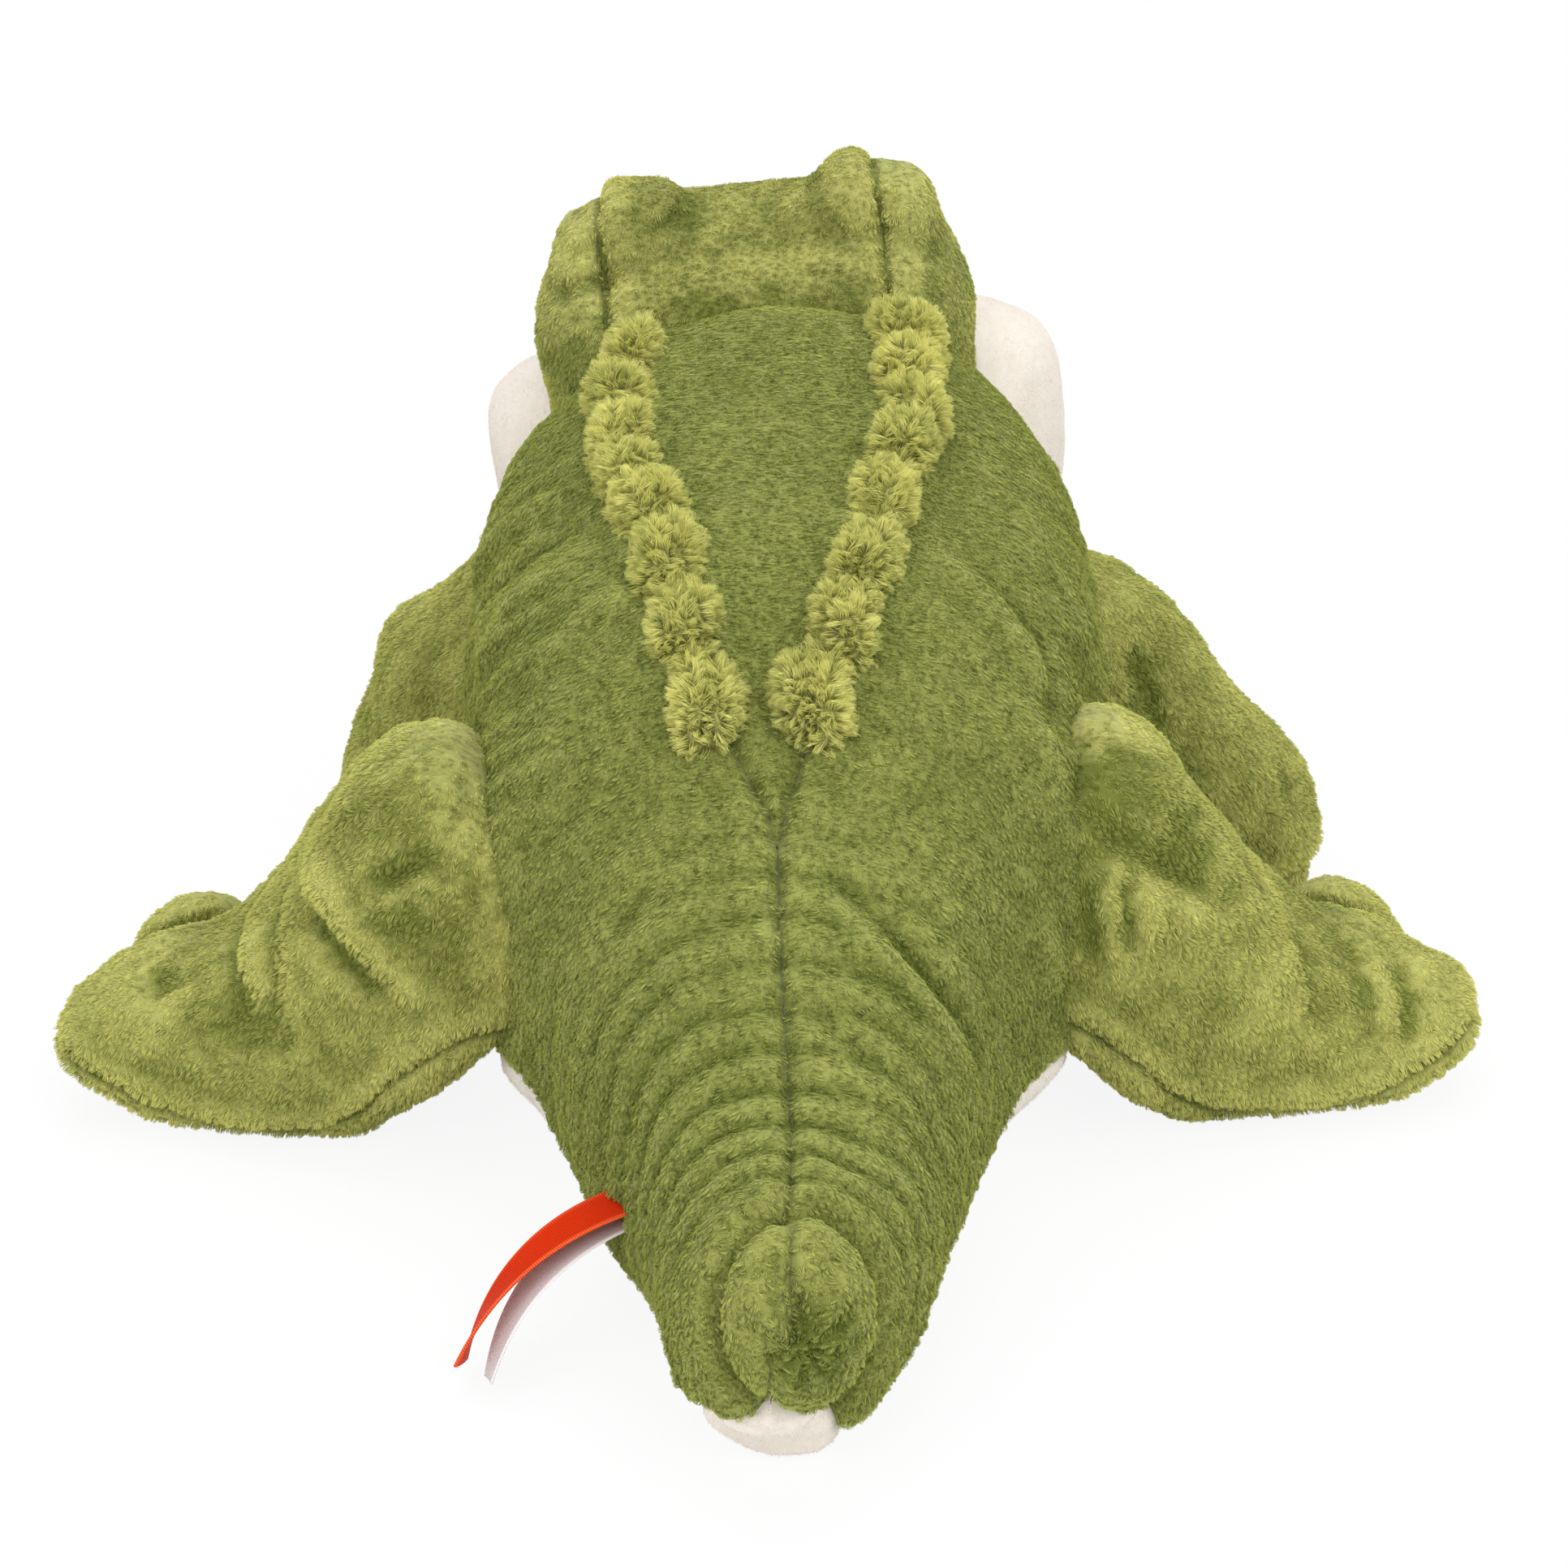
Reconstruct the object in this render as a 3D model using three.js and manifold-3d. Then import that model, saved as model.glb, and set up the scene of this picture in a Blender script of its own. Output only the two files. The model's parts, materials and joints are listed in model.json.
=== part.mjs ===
// A stuffed plush crocodile that lies on its belly, in millimetres. +Z is up, the nose points along +Y
// and the tail tip along -Y. The origin lies on the floor, in the middle of the toy's outline.

import * as THREE from "three";
import { mergeVertices } from "three/addons/utils/BufferGeometryUtils.js";
import Module from "manifold-3d";

const wasm = await Module();
wasm.setup();

// Cloth, filling and fits
const skinThickness = 2;
const liningEase = 1.1;
const seamGap = 0.3;
const jointGap = 0.6;
const restDepth = 0.5;
const overrun = 6;

// Whole toy
const totalLength = 300;
const footSpan = 237;

// Trunk: body and tail, one tapering form
const trunkWidth = 126;
const trunkHeight = 112.5;
const neckInset = 100;
const hipInset = 84;
const hipMargin = 0.8;
const bellySeamTop = 31;

// Head: upper head with eye bumps, and the jaw with its cheeks
const headNeckInset = 7;
const headWidth = 80.5;
const headHeight = 129;
const headShift = 0.5;
const headRollDegrees = 7.5;
const headRollHeightShare = 0.58;
const crownHalfWidth = 26.5;
const crownDrop = 51;
const jawNeckInset = 18;
const jawTipInset = 1;
const jawWidth = 115;
const jawDrop = 31;
const bumpShare = 0.683;
const innerBump = { offset: 18, sink: 11, width: 26, length: 27, rise: 14 };
const outerBump = { offset: 30, sink: 13, width: 17, length: 25, rise: 11 };

// Safety eyes and their washers
const eyeDiameter = 10;
const eyeRise = 3.4;
const eyeShankDiameter = 3;
const eyeShankLength = 10;
const eyeWasherDiameter = 7.4;
const eyeWasherThickness = 1.4;
const eyeWasherDepth = 6;

// Crest rows
const crestHeight = 9;
const crestLobeWidth = 12.4;
const crestLobeLength = 15;
const crestSink = 1.5;
const crestWaistShare = 0.7;

// Legs: each is a form that reaches out sideways from inside the trunk
const hindLeg = {
  start: 24,
  reach: footSpan / 2,
  rootShare: 0.565,
  rightRootShare: 0.595,
  width: 55,
  height: 77.5,
  hingeDrop: 2.5,
  soleHeight: 13,
  toeReach: 112,
  toeLengthShare: 0.48,
  toeShift: 28,
  toeWidth: 23,
  toeHeight: 28,
};
const frontLeg = {
  start: 34,
  reach: 106,
  leftReach: 85,
  rootShare: 0.965,
  width: 48,
  height: 77,
  hingeDrop: 3,
  soleHeight: 12,
  toeReach: 101,
  leftToeReach: 81,
  toeLengthShare: 0.6,
  toeShift: 23,
  toeWidth: 19,
  toeHeight: 24,
};
const hingeRelief = 3;

// Sewn-in labels at the left of the tail
const ribbon = { length: 30.5, width: 8, thickness: 0.7, drop: 19.5, turnDegrees: 38 };
const careLabel = { shorter: 2.5, narrower: 0.5, thickness: 0.5, higher: 1.5, turnDegrees: 46 };
const labelInset = 49;
const labelHeight = 23;
const careLabelDrop = 2.6;
const labelFloorGap = 1;

// Mesh fineness: the outside of each form is fine, its lining and its filling are coarser
const trunkRings = 18;
const trunkSides = 20;
const trunkLiningRings = 10;
const trunkLiningSides = 10;
const headRings = 10;
const headSides = 16;
const jawRings = 8;
const jawSides = 14;
const liningRings = 8;
const liningSides = 8;
const legRings = 8;
const legSides = 11;
const legLiningRings = 6;
const legLiningSides = 7;
const lobeRings = 4;
const lobeSides = 6;
const bumpRings = 5;
const bumpSides = 8;
const labelSteps = 8;
const roundSides = 10;
const capSides = 28;
const neckSides = 14;
const neckRings = 14;

// Places that follow from the sizes
const tailTipY = -totalLength / 2;
const noseY = totalLength / 2;
const neckY = noseY - neckInset;
const hipY = tailTipY + hipInset;
const bodyLength = totalLength - neckInset;
const neckRadius = trunkHeight / 2 - restDepth / 2;
const neckHeight = neckRadius;
const gussetBase = neckHeight;
const headRollHeight = headRollHeightShare * headHeight;
const crownBase = headHeight - crownDrop;
const headRear = neckInset - headNeckInset;
const jawInset = neckInset - jawNeckInset;
const jawHeight = headHeight - jawDrop;

// Station tables: [along, half width, low, high, shift, squareness] shares of length, half the width,
// height, height, half the width, and of the form's own section squareness
const trunkShares = [
  [0, 0, 0.3, 0.3, 0.02, 0],
  [0.01, 0.105, 0.245, 0.36, 0.02, 0],
  [0.0325, 0.185, 0.2, 0.4, 0.02, 0],
  [0.06, 0.215, 0.165, 0.415, 0.03, 0],
  [0.0826, 0.255, 0.055, 0.42, 0.045, 0],
  [0.11, 0.297, 0, 0.425, 0.045, 0],
  [0.1549, 0.34, 0, 0.44, 0.045, 0.2],
  [0.2202, 0.4, 0, 0.49, 0.03, 0.7],
  [0.2995, 0.487, 0, 0.565, 0.02, 1],
  [0.4, 0.595, 0, 0.665, 0.025, 1],
  [0.5094, 0.72, 0, 0.77, 0.035, 1],
  [0.64, 0.81, 0, 0.865, 0.045, 1],
  [0.775, 0.87, 0, 0.92, 0.055, 0.9],
  [0.8998, 0.92, 0, 0.965, 0.045, 0.5],
  [1, 0.955, 0, 1, 0.02, 0],
];
const capWidthShare = 0.955;
const capShiftShare = 0.02;
const trunkSectionShares = { mid: 0.42, side: 0.8, top: 0.8, bottom: 0.66 };
const capAnglesShares = [0.22, 0.44, 0.66, 0.84, 1];

const headShares = [
  [0, 0, 0.72, 0.72, 0, 0],
  [0.04, 0.56, 0.6, 0.815, 0, 0.4],
  [0.1, 0.84, 0.5, 0.882, 0, 0.8],
  [0.18, 0.955, 0.455, 0.925, 0, 1],
  [0.28, 1, 0.435, 0.97, 0, 1],
  [0.37, 1.01, 0.43, 0.985, 0, 1],
  [0.46, 0.975, 0.43, 0.955, 0, 1],
  [0.55, 0.88, 0.43, 0.86, 0, 0.9],
  [0.65, 0.775, 0.435, 0.775, 0, 0.8],
  [0.77, 0.715, 0.445, 0.725, 0, 0.8],
  [0.88, 0.67, 0.455, 0.7, 0, 0.7],
  [0.95, 0.56, 0.475, 0.67, 0, 0.6],
  [0.985, 0.36, 0.52, 0.63, 0, 0.3],
  [1, 0, 0.575, 0.575, 0, 0],
];
const headSectionShares = { mid: 0.48, side: 0.52, top: 0.52, bottom: 0.8 };

const jawShares = [
  [0, 0, 0.6, 0.6, 0, 0],
  [0.07, 0.5, 0.46, 0.79, 0, 0.2],
  [0.17, 0.76, 0.37, 0.9, 0, 0.7],
  [0.3, 0.92, 0.31, 0.97, 0, 1],
  [0.44, 0.99, 0.285, 1, 0, 1],
  [0.56, 1, 0.285, 0.99, 0, 1],
  [0.69, 0.93, 0.3, 0.93, 0, 1],
  [0.81, 0.78, 0.33, 0.82, 0, 0.8],
  [0.91, 0.6, 0.38, 0.7, 0, 0.5],
  [0.975, 0.38, 0.44, 0.62, 0, 0.2],
  [1, 0, 0.53, 0.53, 0, 0],
];
const jawSectionShares = { mid: 0.64, side: 0.68, top: 0.58, bottom: 0.75 };

const hindShares = [
  [0, 0, 0.52, 0.52, 0, 0],
  [0.05, 0.62, 0.36, 0.85, 0, 0.6],
  [0.16, 0.92, 0.3, 0.985, 0, 0.8],
  [0.28, 1, 0.13, 0.98, 0.05, 1],
  [0.42, 0.98, 0, 0.86, 0.14, 1],
  [0.57, 0.9, 0, 0.62, 0.22, 1],
  [0.7, 0.79, 0, 0.44, 0.27, 1],
  [0.82, 0.69, 0, 0.41, 0.25, 0.9],
  [0.92, 0.54, 0.01, 0.37, 0.2, 0.6],
  [0.975, 0.33, 0.06, 0.3, 0.17, 0.3],
  [1, 0, 0.18, 0.18, 0.15, 0],
];
const frontShares = [
  [0, 0, 0.52, 0.52, 0, 0],
  [0.06, 0.6, 0.36, 0.84, 0, 0.6],
  [0.2, 0.9, 0.26, 0.985, 0, 0.8],
  [0.34, 1, 0.1, 0.955, 0.06, 1],
  [0.5, 0.97, 0, 0.87, 0.16, 1],
  [0.64, 0.88, 0, 0.71, 0.27, 1],
  [0.78, 0.8, 0, 0.49, 0.36, 1],
  [0.89, 0.7, 0, 0.37, 0.36, 0.9],
  [0.96, 0.5, 0.02, 0.31, 0.34, 0.5],
  [1, 0, 0.16, 0.16, 0.33, 0],
];
const legSectionShares = { mid: 0.4, side: 0.85, top: 0.9, bottom: 0.6 };

// Seam tables: [along, left, right], shares of the body's length from the tail tip to the neck and of half
// the trunk's width
const gussetShares = [
  [1.3056, -0.33, 0.37],
  [1.1776, -0.34, 0.38],
  [1.0598, -0.36, 0.385],
  [1.0048, -0.38, 0.385],
  [0.9254, -0.405, 0.39],
  [0.8346, -0.392, 0.385],
  [0.7718, -0.365, 0.35],
  [0.7027, -0.307, 0.3],
  [0.6285, -0.247, 0.257],
  [0.5542, -0.201, 0.19],
  [0.4762, -0.135, 0.11],
  [0.4365, -0.07, 0.09],
  [0.3904, 0.015, 0.035],
];
const bellyShares = [
  [1.3056, -0.1, 0.14],
  [1.1776, -0.2, 0.24],
  [1.0752, -0.57, 0.61],
  [0.9472, -0.7, 0.78],
  [0.7424, -0.67, 0.77],
  [0.5504, -0.61, 0.69],
  [0.448, -0.53, 0.59],
  [0.3584, -0.39, 0.44],
  [0.256, -0.23, 0.3],
  [0.1536, -0.16, 0.22],
  [0.0975, -0.15, 0.19],
  [0.065, -0.1, 0.14],
];

// Crest lobes from the neck to the tail: [along, across, width], shares of the body's length, of half the
// trunk's width and of the lobe width
const crestShares = {
  left: [
    [0.983, -0.38, 0.84],
    [0.9139, -0.41, 0.98],
    [0.8397, -0.395, 0.94],
    [0.7718, -0.368, 0.9],
    [0.7027, -0.307, 1.06],
    [0.6285, -0.247, 1.05],
    [0.5542, -0.201, 1],
    [0.4762, -0.14, 1],
  ],
  right: [
    [0.9856, 0.385, 1.12],
    [0.9267, 0.385, 1.1],
    [0.8627, 0.397, 0.94],
    [0.7949, 0.359, 0.95],
    [0.7059, 0.3, 0.9],
    [0.6195, 0.254, 0.93],
    [0.5485, 0.187, 0.78],
    [0.4768, 0.104, 1.06],
  ],
};

// Section of a crest lobe: [across, up], shares of half its width and of its height
const crestSectionShares = [
  [-1, -1],
  [-1, 0.35],
  [-0.62, 0.85],
  [0, 1],
  [0.62, 0.85],
  [1, 0.35],
  [1, -1],
];

// Cloth and plastic colours
const finish = (color, roughness) => new THREE.MeshStandardMaterial({ color, roughness, metalness: 0 });
const greenPile = finish(0x7a8640, 0.95);
const lightPile = finish(0x8a914c, 0.95);
const crestPile = finish(0xa7a656, 0.95);
const creamPile = finish(0xe6dccb, 0.92);
const fillingWhite = finish(0xf4f2ec, 1);
const eyeBlack = finish(0x0b0a09, 0.12);
const washerWhite = finish(0xe8e8e4, 0.45);
const ribbonRed = finish(0xe44204, 0.6);
const labelWhite = finish(0xf1eef0, 0.55);

// A closed form along +Y through a station table. It is lowered by the rest depth and pressed flat at
// the floor, as a filled toy is by its weight.
function form({ stations, length, width, height, section, rings, sides }) {
  const outline = new THREE.CatmullRomCurve3(
    stations.map((row) => new THREE.Vector3(row[0] * length, (row[1] * width) / 2, (row[4] * width) / 2)),
    false,
    "catmullrom",
  );
  const levels = new THREE.CatmullRomCurve3(
    stations.map((row) => new THREE.Vector3(row[2] * height, row[3] * height, row[5])),
    false,
    "catmullrom",
  );
  const ringAt = (share) => {
    const plan = outline.getPoint(share);
    const level = levels.getPoint(share);
    const square = THREE.MathUtils.clamp(level.z, 0, 1);
    const mid = THREE.MathUtils.lerp(1 / 2, section.mid, square);
    return {
      y: plan.x,
      half: Math.max(plan.y, 0),
      shift: plan.z,
      low: level.x,
      high: level.y,
      middle: THREE.MathUtils.lerp(level.x, level.y, mid),
      side: THREE.MathUtils.lerp(1, section.side, square),
      top: THREE.MathUtils.lerp(1, section.top, square),
      bottom: THREE.MathUtils.lerp(1, section.bottom, square),
    };
  };
  const pointAt = (ring, angle) => {
    const across = Math.cos(angle);
    const up = Math.sin(angle);
    const x = ring.shift + ring.half * Math.sign(across) * Math.abs(across) ** ring.side;
    const z =
      up >= 0
        ? ring.middle + (ring.high - ring.middle) * up ** ring.top
        : ring.middle - (ring.middle - ring.low) * Math.abs(up) ** ring.bottom;
    return [x, ring.y, Math.max(z - restDepth, 0)];
  };
  const ringAtY = (y) => {
    let near = 0;
    let far = 1;
    while (far - near > 1 / 2 ** 20) {
      const middle = (near + far) / 2;
      if (outline.getPoint(middle).x < y) near = middle;
      else far = middle;
    }
    return ringAt(near);
  };
  const topAt = (x, y) => {
    const ring = ringAtY(y);
    const across = Math.min(Math.abs(x - ring.shift) / ring.half, 1) ** (1 / ring.side);
    return ring.middle + (ring.high - ring.middle) * (1 - across ** 2) ** (ring.top / 2) - restDepth;
  };
  const build = (ringCount = rings, sideCount = sides) => {
    const positions = [...pointAt(ringAt(0), 0)];
    for (let i = 1; i < ringCount; i += 1) {
      const ring = ringAt(i / ringCount);
      for (let j = 0; j < sideCount; j += 1) {
        positions.push(...pointAt(ring, ((j + 1 / 2) / sideCount) * 2 * Math.PI));
      }
    }
    positions.push(...pointAt(ringAt(1), 0));
    const last = positions.length / 3 - 1;
    const at = (i, j) => 1 + (i - 1) * sideCount + (j % sideCount);
    const index = [];
    for (let j = 0; j < sideCount; j += 1) {
      index.push(0, at(1, j), at(1, j + 1));
      index.push(last, at(ringCount - 1, j + 1), at(ringCount - 1, j));
      for (let i = 1; i < ringCount - 1; i += 1) {
        index.push(at(i, j), at(i + 1, j), at(i + 1, j + 1));
        index.push(at(i, j), at(i + 1, j + 1), at(i, j + 1));
      }
    }
    const geometry = new THREE.BufferGeometry();
    geometry.setAttribute("position", new THREE.Float32BufferAttribute(positions, 3));
    geometry.setIndex(index);
    return geometry;
  };
  return { build, ringAtY, topAt };
}

// The same surface moved along its vertex normals, outwards for a positive distance
function offset(geometry, distance) {
  const moved = geometry.clone();
  moved.computeVertexNormals();
  const position = moved.getAttribute("position");
  const normal = moved.getAttribute("normal");
  const point = new THREE.Vector3();
  const direction = new THREE.Vector3();
  for (let i = 0; i < position.count; i += 1) {
    point.fromBufferAttribute(position, i);
    direction.fromBufferAttribute(normal, i);
    point.addScaledVector(direction, distance);
    position.setXYZ(i, point.x, point.y, point.z);
  }
  moved.deleteAttribute("normal");
  return moved;
}

// Booleans
function solid(geometry) {
  const bare = geometry.clone();
  bare.deleteAttribute("normal");
  bare.deleteAttribute("uv");
  const merged = mergeVertices(bare);
  return new wasm.Manifold(
    new wasm.Mesh({
      numProp: 3,
      vertProperties: new Float32Array(merged.getAttribute("position").array),
      triVerts: new Uint32Array(merged.index.array),
    }),
  );
}

function geometryOf(manifold) {
  const made = manifold.getMesh();
  const geometry = new THREE.BufferGeometry();
  geometry.setAttribute("position", new THREE.BufferAttribute(new Float32Array(made.vertProperties), 3));
  geometry.setIndex(new THREE.BufferAttribute(new Uint32Array(made.triVerts), 1));
  return geometry;
}

const join = (solids) => solids.reduce((whole, one) => whole.add(one));

// The largest closed body of a solid, which drops slivers that a cut leaves loose
function largest(manifold) {
  const bodies = manifold.decompose();
  return bodies.reduce((best, one) => (one.volume() > best.volume() ? one : best));
}

function block(x0, x1, y0, y1, z0, z1) {
  const box = new THREE.BoxGeometry(x1 - x0, y1 - y0, z1 - z0);
  box.translate((x0 + x1) / 2, (y0 + y1) / 2, (z0 + z1) / 2);
  return solid(box);
}

function ellipsoid(center, size, widthSegments, heightSegments) {
  const ball = new THREE.SphereGeometry(1 / 2, widthSegments, heightSegments);
  ball.scale(size.x, size.y, size.z);
  ball.translate(center.x, center.y, center.z);
  return ball;
}

// An upright wall around the plan outline of a panel
function planBlock(rows, grow, z0, z1) {
  const places = rows.map(([along, left, right]) => ({
    y: tailTipY + along * bodyLength,
    left: (left * trunkWidth) / 2 - grow,
    right: (right * trunkWidth) / 2 + grow,
  }));
  places[places.length - 1].y -= grow;
  const shape = new THREE.Shape([
    ...places.map((place) => new THREE.Vector2(place.right, place.y)),
    ...places.reverse().map((place) => new THREE.Vector2(place.left, place.y)),
  ]);
  const wall = new THREE.ExtrudeGeometry(shape, { depth: z1 - z0, bevelEnabled: false });
  wall.translate(0, 0, z0);
  return solid(wall);
}

// Trunk form with its rounded front, whose side view is a circle about the neck hinge
const capShares = capAnglesShares.map((share) => {
  const angle = (share * Math.PI) / 2;
  const reach = neckRadius / bodyLength;
  const level = Math.cos(angle) / 2;
  return [
    1 + reach * Math.sin(angle),
    capWidthShare * Math.cos(angle),
    1 / 2 - level,
    1 / 2 + level,
    capShiftShare,
    0,
  ];
});
const trunk = form({
  stations: [...trunkShares, ...capShares],
  length: bodyLength,
  width: trunkWidth,
  height: trunkHeight,
  section: trunkSectionShares,
  rings: trunkRings,
  sides: trunkSides,
});
const placeTrunk = (geometry) => geometry.translate(0, tailTipY, 0);
const trunkSurface = placeTrunk(trunk.build());
const trunkTopAt = (x, y) => trunk.topAt(x, y - tailTipY);
const trunkRingAt = (y) => trunk.ringAtY(y - tailTipY);

const trunkLining = placeTrunk(trunk.build(trunkLiningRings, trunkLiningSides));
const liningDepth = skinThickness + liningEase;
const trunkShell = solid(trunkSurface).subtract(solid(offset(trunkLining, -liningDepth)));
const trunkCore = solid(offset(trunkLining, -liningDepth - seamGap));
const trunkKeepOut = solid(offset(trunkSurface, seamGap));
const wide = trunkWidth;

// The hip: the body ends in an upright round cap, and the tail swings around it
const hipRing = trunkRingAt(hipY);
const hipRadius = hipRing.half + hipMargin;
function hipCap(radius) {
  const cap = new THREE.CylinderGeometry(radius, radius, trunkHeight + 2 * overrun, capSides);
  cap.rotateX(Math.PI / 2);
  cap.translate(hipRing.shift, hipY, trunkHeight / 2);
  const front = block(-wide, wide, hipY, noseY, -overrun, trunkHeight + overrun);
  return solid(cap).add(front);
}
const bodyRegion = hipCap(hipRadius);
const tailKeepOut = hipCap(hipRadius + jointGap);

// Seams between the cloth panels
const bellyBlock = (grow) => planBlock(bellyShares, grow, -overrun, bellySeamTop + grow);
const gussetBlock = (grow) => planBlock(gussetShares, grow, gussetBase - grow, trunkHeight + overrun);
const seamMiddle = hipRing.shift;
const leftHalf = block(-wide, seamMiddle - seamGap / 2, tailTipY - overrun, noseY, -overrun, wide);
const rightHalf = block(seamMiddle + seamGap / 2, wide, tailTipY - overrun, noseY, -overrun, wide);
const bellyInner = bellyBlock(0);
const bellyGrown = bellyBlock(seamGap);
const gussetInner = gussetBlock(0);
const gussetGrown = gussetBlock(seamGap);
const bodyShell = trunkShell.intersect(bodyRegion);
const tailShell = trunkShell.subtract(tailKeepOut);
const bodySides = bodyShell.subtract(bellyGrown).subtract(gussetGrown);
const tailSides = tailShell.subtract(bellyGrown);

// Scene groups: each moving body turns about its own hinge point
const crocodile = new THREE.Group();
function bodyGroup(x, y, z) {
  const group = new THREE.Group();
  group.position.set(x, y, z);
  crocodile.add(group);
  return group;
}
function piece(group, name, manifold, material) {
  const geometry = geometryOf(largest(manifold));
  geometry.translate(-group.position.x, -group.position.y, -group.position.z);
  const mesh = new THREE.Mesh(geometry, material);
  mesh.name = name;
  group.add(mesh);
  return mesh;
}

const body = bodyGroup(0, 0, 0);
piece(body, "body_side_panel_left", bodySides.intersect(leftHalf), greenPile);
piece(body, "body_side_panel_right", bodySides.intersect(rightHalf), greenPile);
piece(body, "back_gusset", bodyShell.intersect(gussetInner), greenPile);
piece(body, "belly_panel", bodyShell.intersect(bellyInner), creamPile);
piece(body, "body_filling", trunkCore.intersect(bodyRegion), fillingWhite);

const tail = bodyGroup(hipRing.shift, hipY, trunkHeight / 2);
piece(tail, "tail_side_panel_left", tailSides.intersect(leftHalf), greenPile);
piece(tail, "tail_side_panel_right", tailSides.intersect(rightHalf), greenPile);
piece(tail, "tail_underside_panel", tailShell.intersect(bellyInner), creamPile);
piece(tail, "tail_filling", trunkCore.subtract(tailKeepOut), fillingWhite);

// Crest rows: one puffed strip a row along both edges of the back gusset, drawn in between its lobes
function crest(name, rows) {
  const lobes = rows.map(([along, across, width]) => ({
    x: (across * trunkWidth) / 2,
    y: tailTipY + along * bodyLength,
    width: width * crestLobeWidth,
    height: crestHeight,
  }));
  const rings = lobes.flatMap((lobe, i) => {
    const next = lobes[i + 1];
    if (!next) return [lobe];
    const waist = {
      x: (lobe.x + next.x) / 2,
      y: (lobe.y + next.y) / 2,
      width: ((lobe.width + next.width) / 2) * crestWaistShare,
      height: crestHeight * crestWaistShare,
    };
    return [lobe, waist];
  });
  const tip = (lobe, side) => {
    const y = lobe.y + (side * crestLobeLength) / 2;
    return [lobe.x, y, trunkTopAt(lobe.x, y) + crestSink];
  };
  const ringPoints = rings.map((ring) => {
    const base = trunkTopAt(ring.x, ring.y) - crestSink;
    return crestSectionShares.map(([across, up]) => [
      ring.x + (across * ring.width) / 2,
      ring.y,
      base + up * (ring.height + crestSink),
    ]);
  });
  const sides = crestSectionShares.length;
  const positions = [tip(lobes[0], 1), ...ringPoints.flat(), tip(lobes[lobes.length - 1], -1)].flat();
  const last = positions.length / 3 - 1;
  const at = (i, j) => 1 + i * sides + (j % sides);
  const index = [];
  for (let j = 0; j < sides; j += 1) {
    index.push(0, at(0, j), at(0, j + 1));
    index.push(last, at(rings.length - 1, j + 1), at(rings.length - 1, j));
    for (let i = 0; i < rings.length - 1; i += 1) {
      index.push(at(i, j), at(i + 1, j), at(i + 1, j + 1));
      index.push(at(i, j), at(i + 1, j + 1), at(i, j + 1));
    }
  }
  const strip = new THREE.BufferGeometry();
  strip.setAttribute("position", new THREE.Float32BufferAttribute(positions, 3));
  strip.setIndex(index);
  piece(body, name, solid(strip).subtract(trunkKeepOut), crestPile);
}
crest("crest_row_left", crestShares.left);
crest("crest_row_right", crestShares.right);

// Head: built upright, then rolled a little to one side as the toy lies
const neckFit = (neckRadius + jointGap) / Math.cos(Math.PI / neckRings);
const flankFit = ((capWidthShare * trunkWidth) / 2 + jointGap) / Math.cos(Math.PI / neckSides);
const neckCap = solid(
  ellipsoid(
    new THREE.Vector3((capShiftShare * trunkWidth) / 2, neckY, neckHeight),
    new THREE.Vector3(2 * flankFit, 2 * neckFit, 2 * neckFit),
    neckSides,
    neckRings,
  ),
);
const rollMatrix = new THREE.Matrix4()
  .makeTranslation(headShift, 0, headRollHeight)
  .multiply(new THREE.Matrix4().makeRotationY(THREE.MathUtils.degToRad(-headRollDegrees)))
  .multiply(new THREE.Matrix4().makeTranslation(0, 0, -headRollHeight));
const rolled = (geometry) => geometry.applyMatrix4(rollMatrix);

const headForm = form({
  stations: headShares,
  length: headRear,
  width: headWidth,
  height: headHeight,
  section: headSectionShares,
  rings: headRings,
  sides: headSides,
});
const headStartY = noseY - headRear;
const bumpY = noseY - bumpShare * headRear;
function headBase(distance, rings, sides) {
  const base = headForm.build(rings, sides).translate(0, headStartY, 0);
  return solid(rolled(offset(base, distance)));
}
function headSolid(distance, rings, sides, ballSides = bumpSides, ballRings = bumpRings) {
  const grow = 2 * distance;
  const bumps = [-1, 1].flatMap((side) =>
    [innerBump, outerBump].map((bump) => {
      const center = new THREE.Vector3(side * bump.offset, bumpY, headHeight - bump.sink);
      const size = new THREE.Vector3(bump.width + grow, bump.length + grow, 2 * bump.rise + grow);
      return solid(rolled(ellipsoid(center, size, ballSides, ballRings)));
    }),
  );
  return join([headBase(distance, rings, sides), ...bumps]);
}
const headLining = (gap) => headSolid(-liningDepth - gap, liningRings, liningSides, lobeSides, lobeRings);

// Jaw with its two cheeks, wrapped around the underside of the upper head
const jawStartY = noseY - jawInset;
const jawForm = form({
  stations: jawShares,
  length: jawInset - jawTipInset,
  width: jawWidth,
  height: jawHeight,
  section: jawSectionShares,
  rings: jawRings,
  sides: jawSides,
});
const jawSurface = rolled(jawForm.build().translate(0, jawStartY, 0));
const jawLiningSurface = rolled(jawForm.build(liningRings, liningSides).translate(0, jawStartY, 0));
const jawLining = (gap) => solid(offset(jawLiningSurface, -liningDepth - gap));
const headShell = headSolid(0)
  .subtract(headLining(0))
  .subtract(jawLining(0))
  .subtract(neckCap);
const jawShell = solid(jawSurface)
  .subtract(jawLining(0))
  .subtract(headBase(seamGap))
  .subtract(neckCap);

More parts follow.
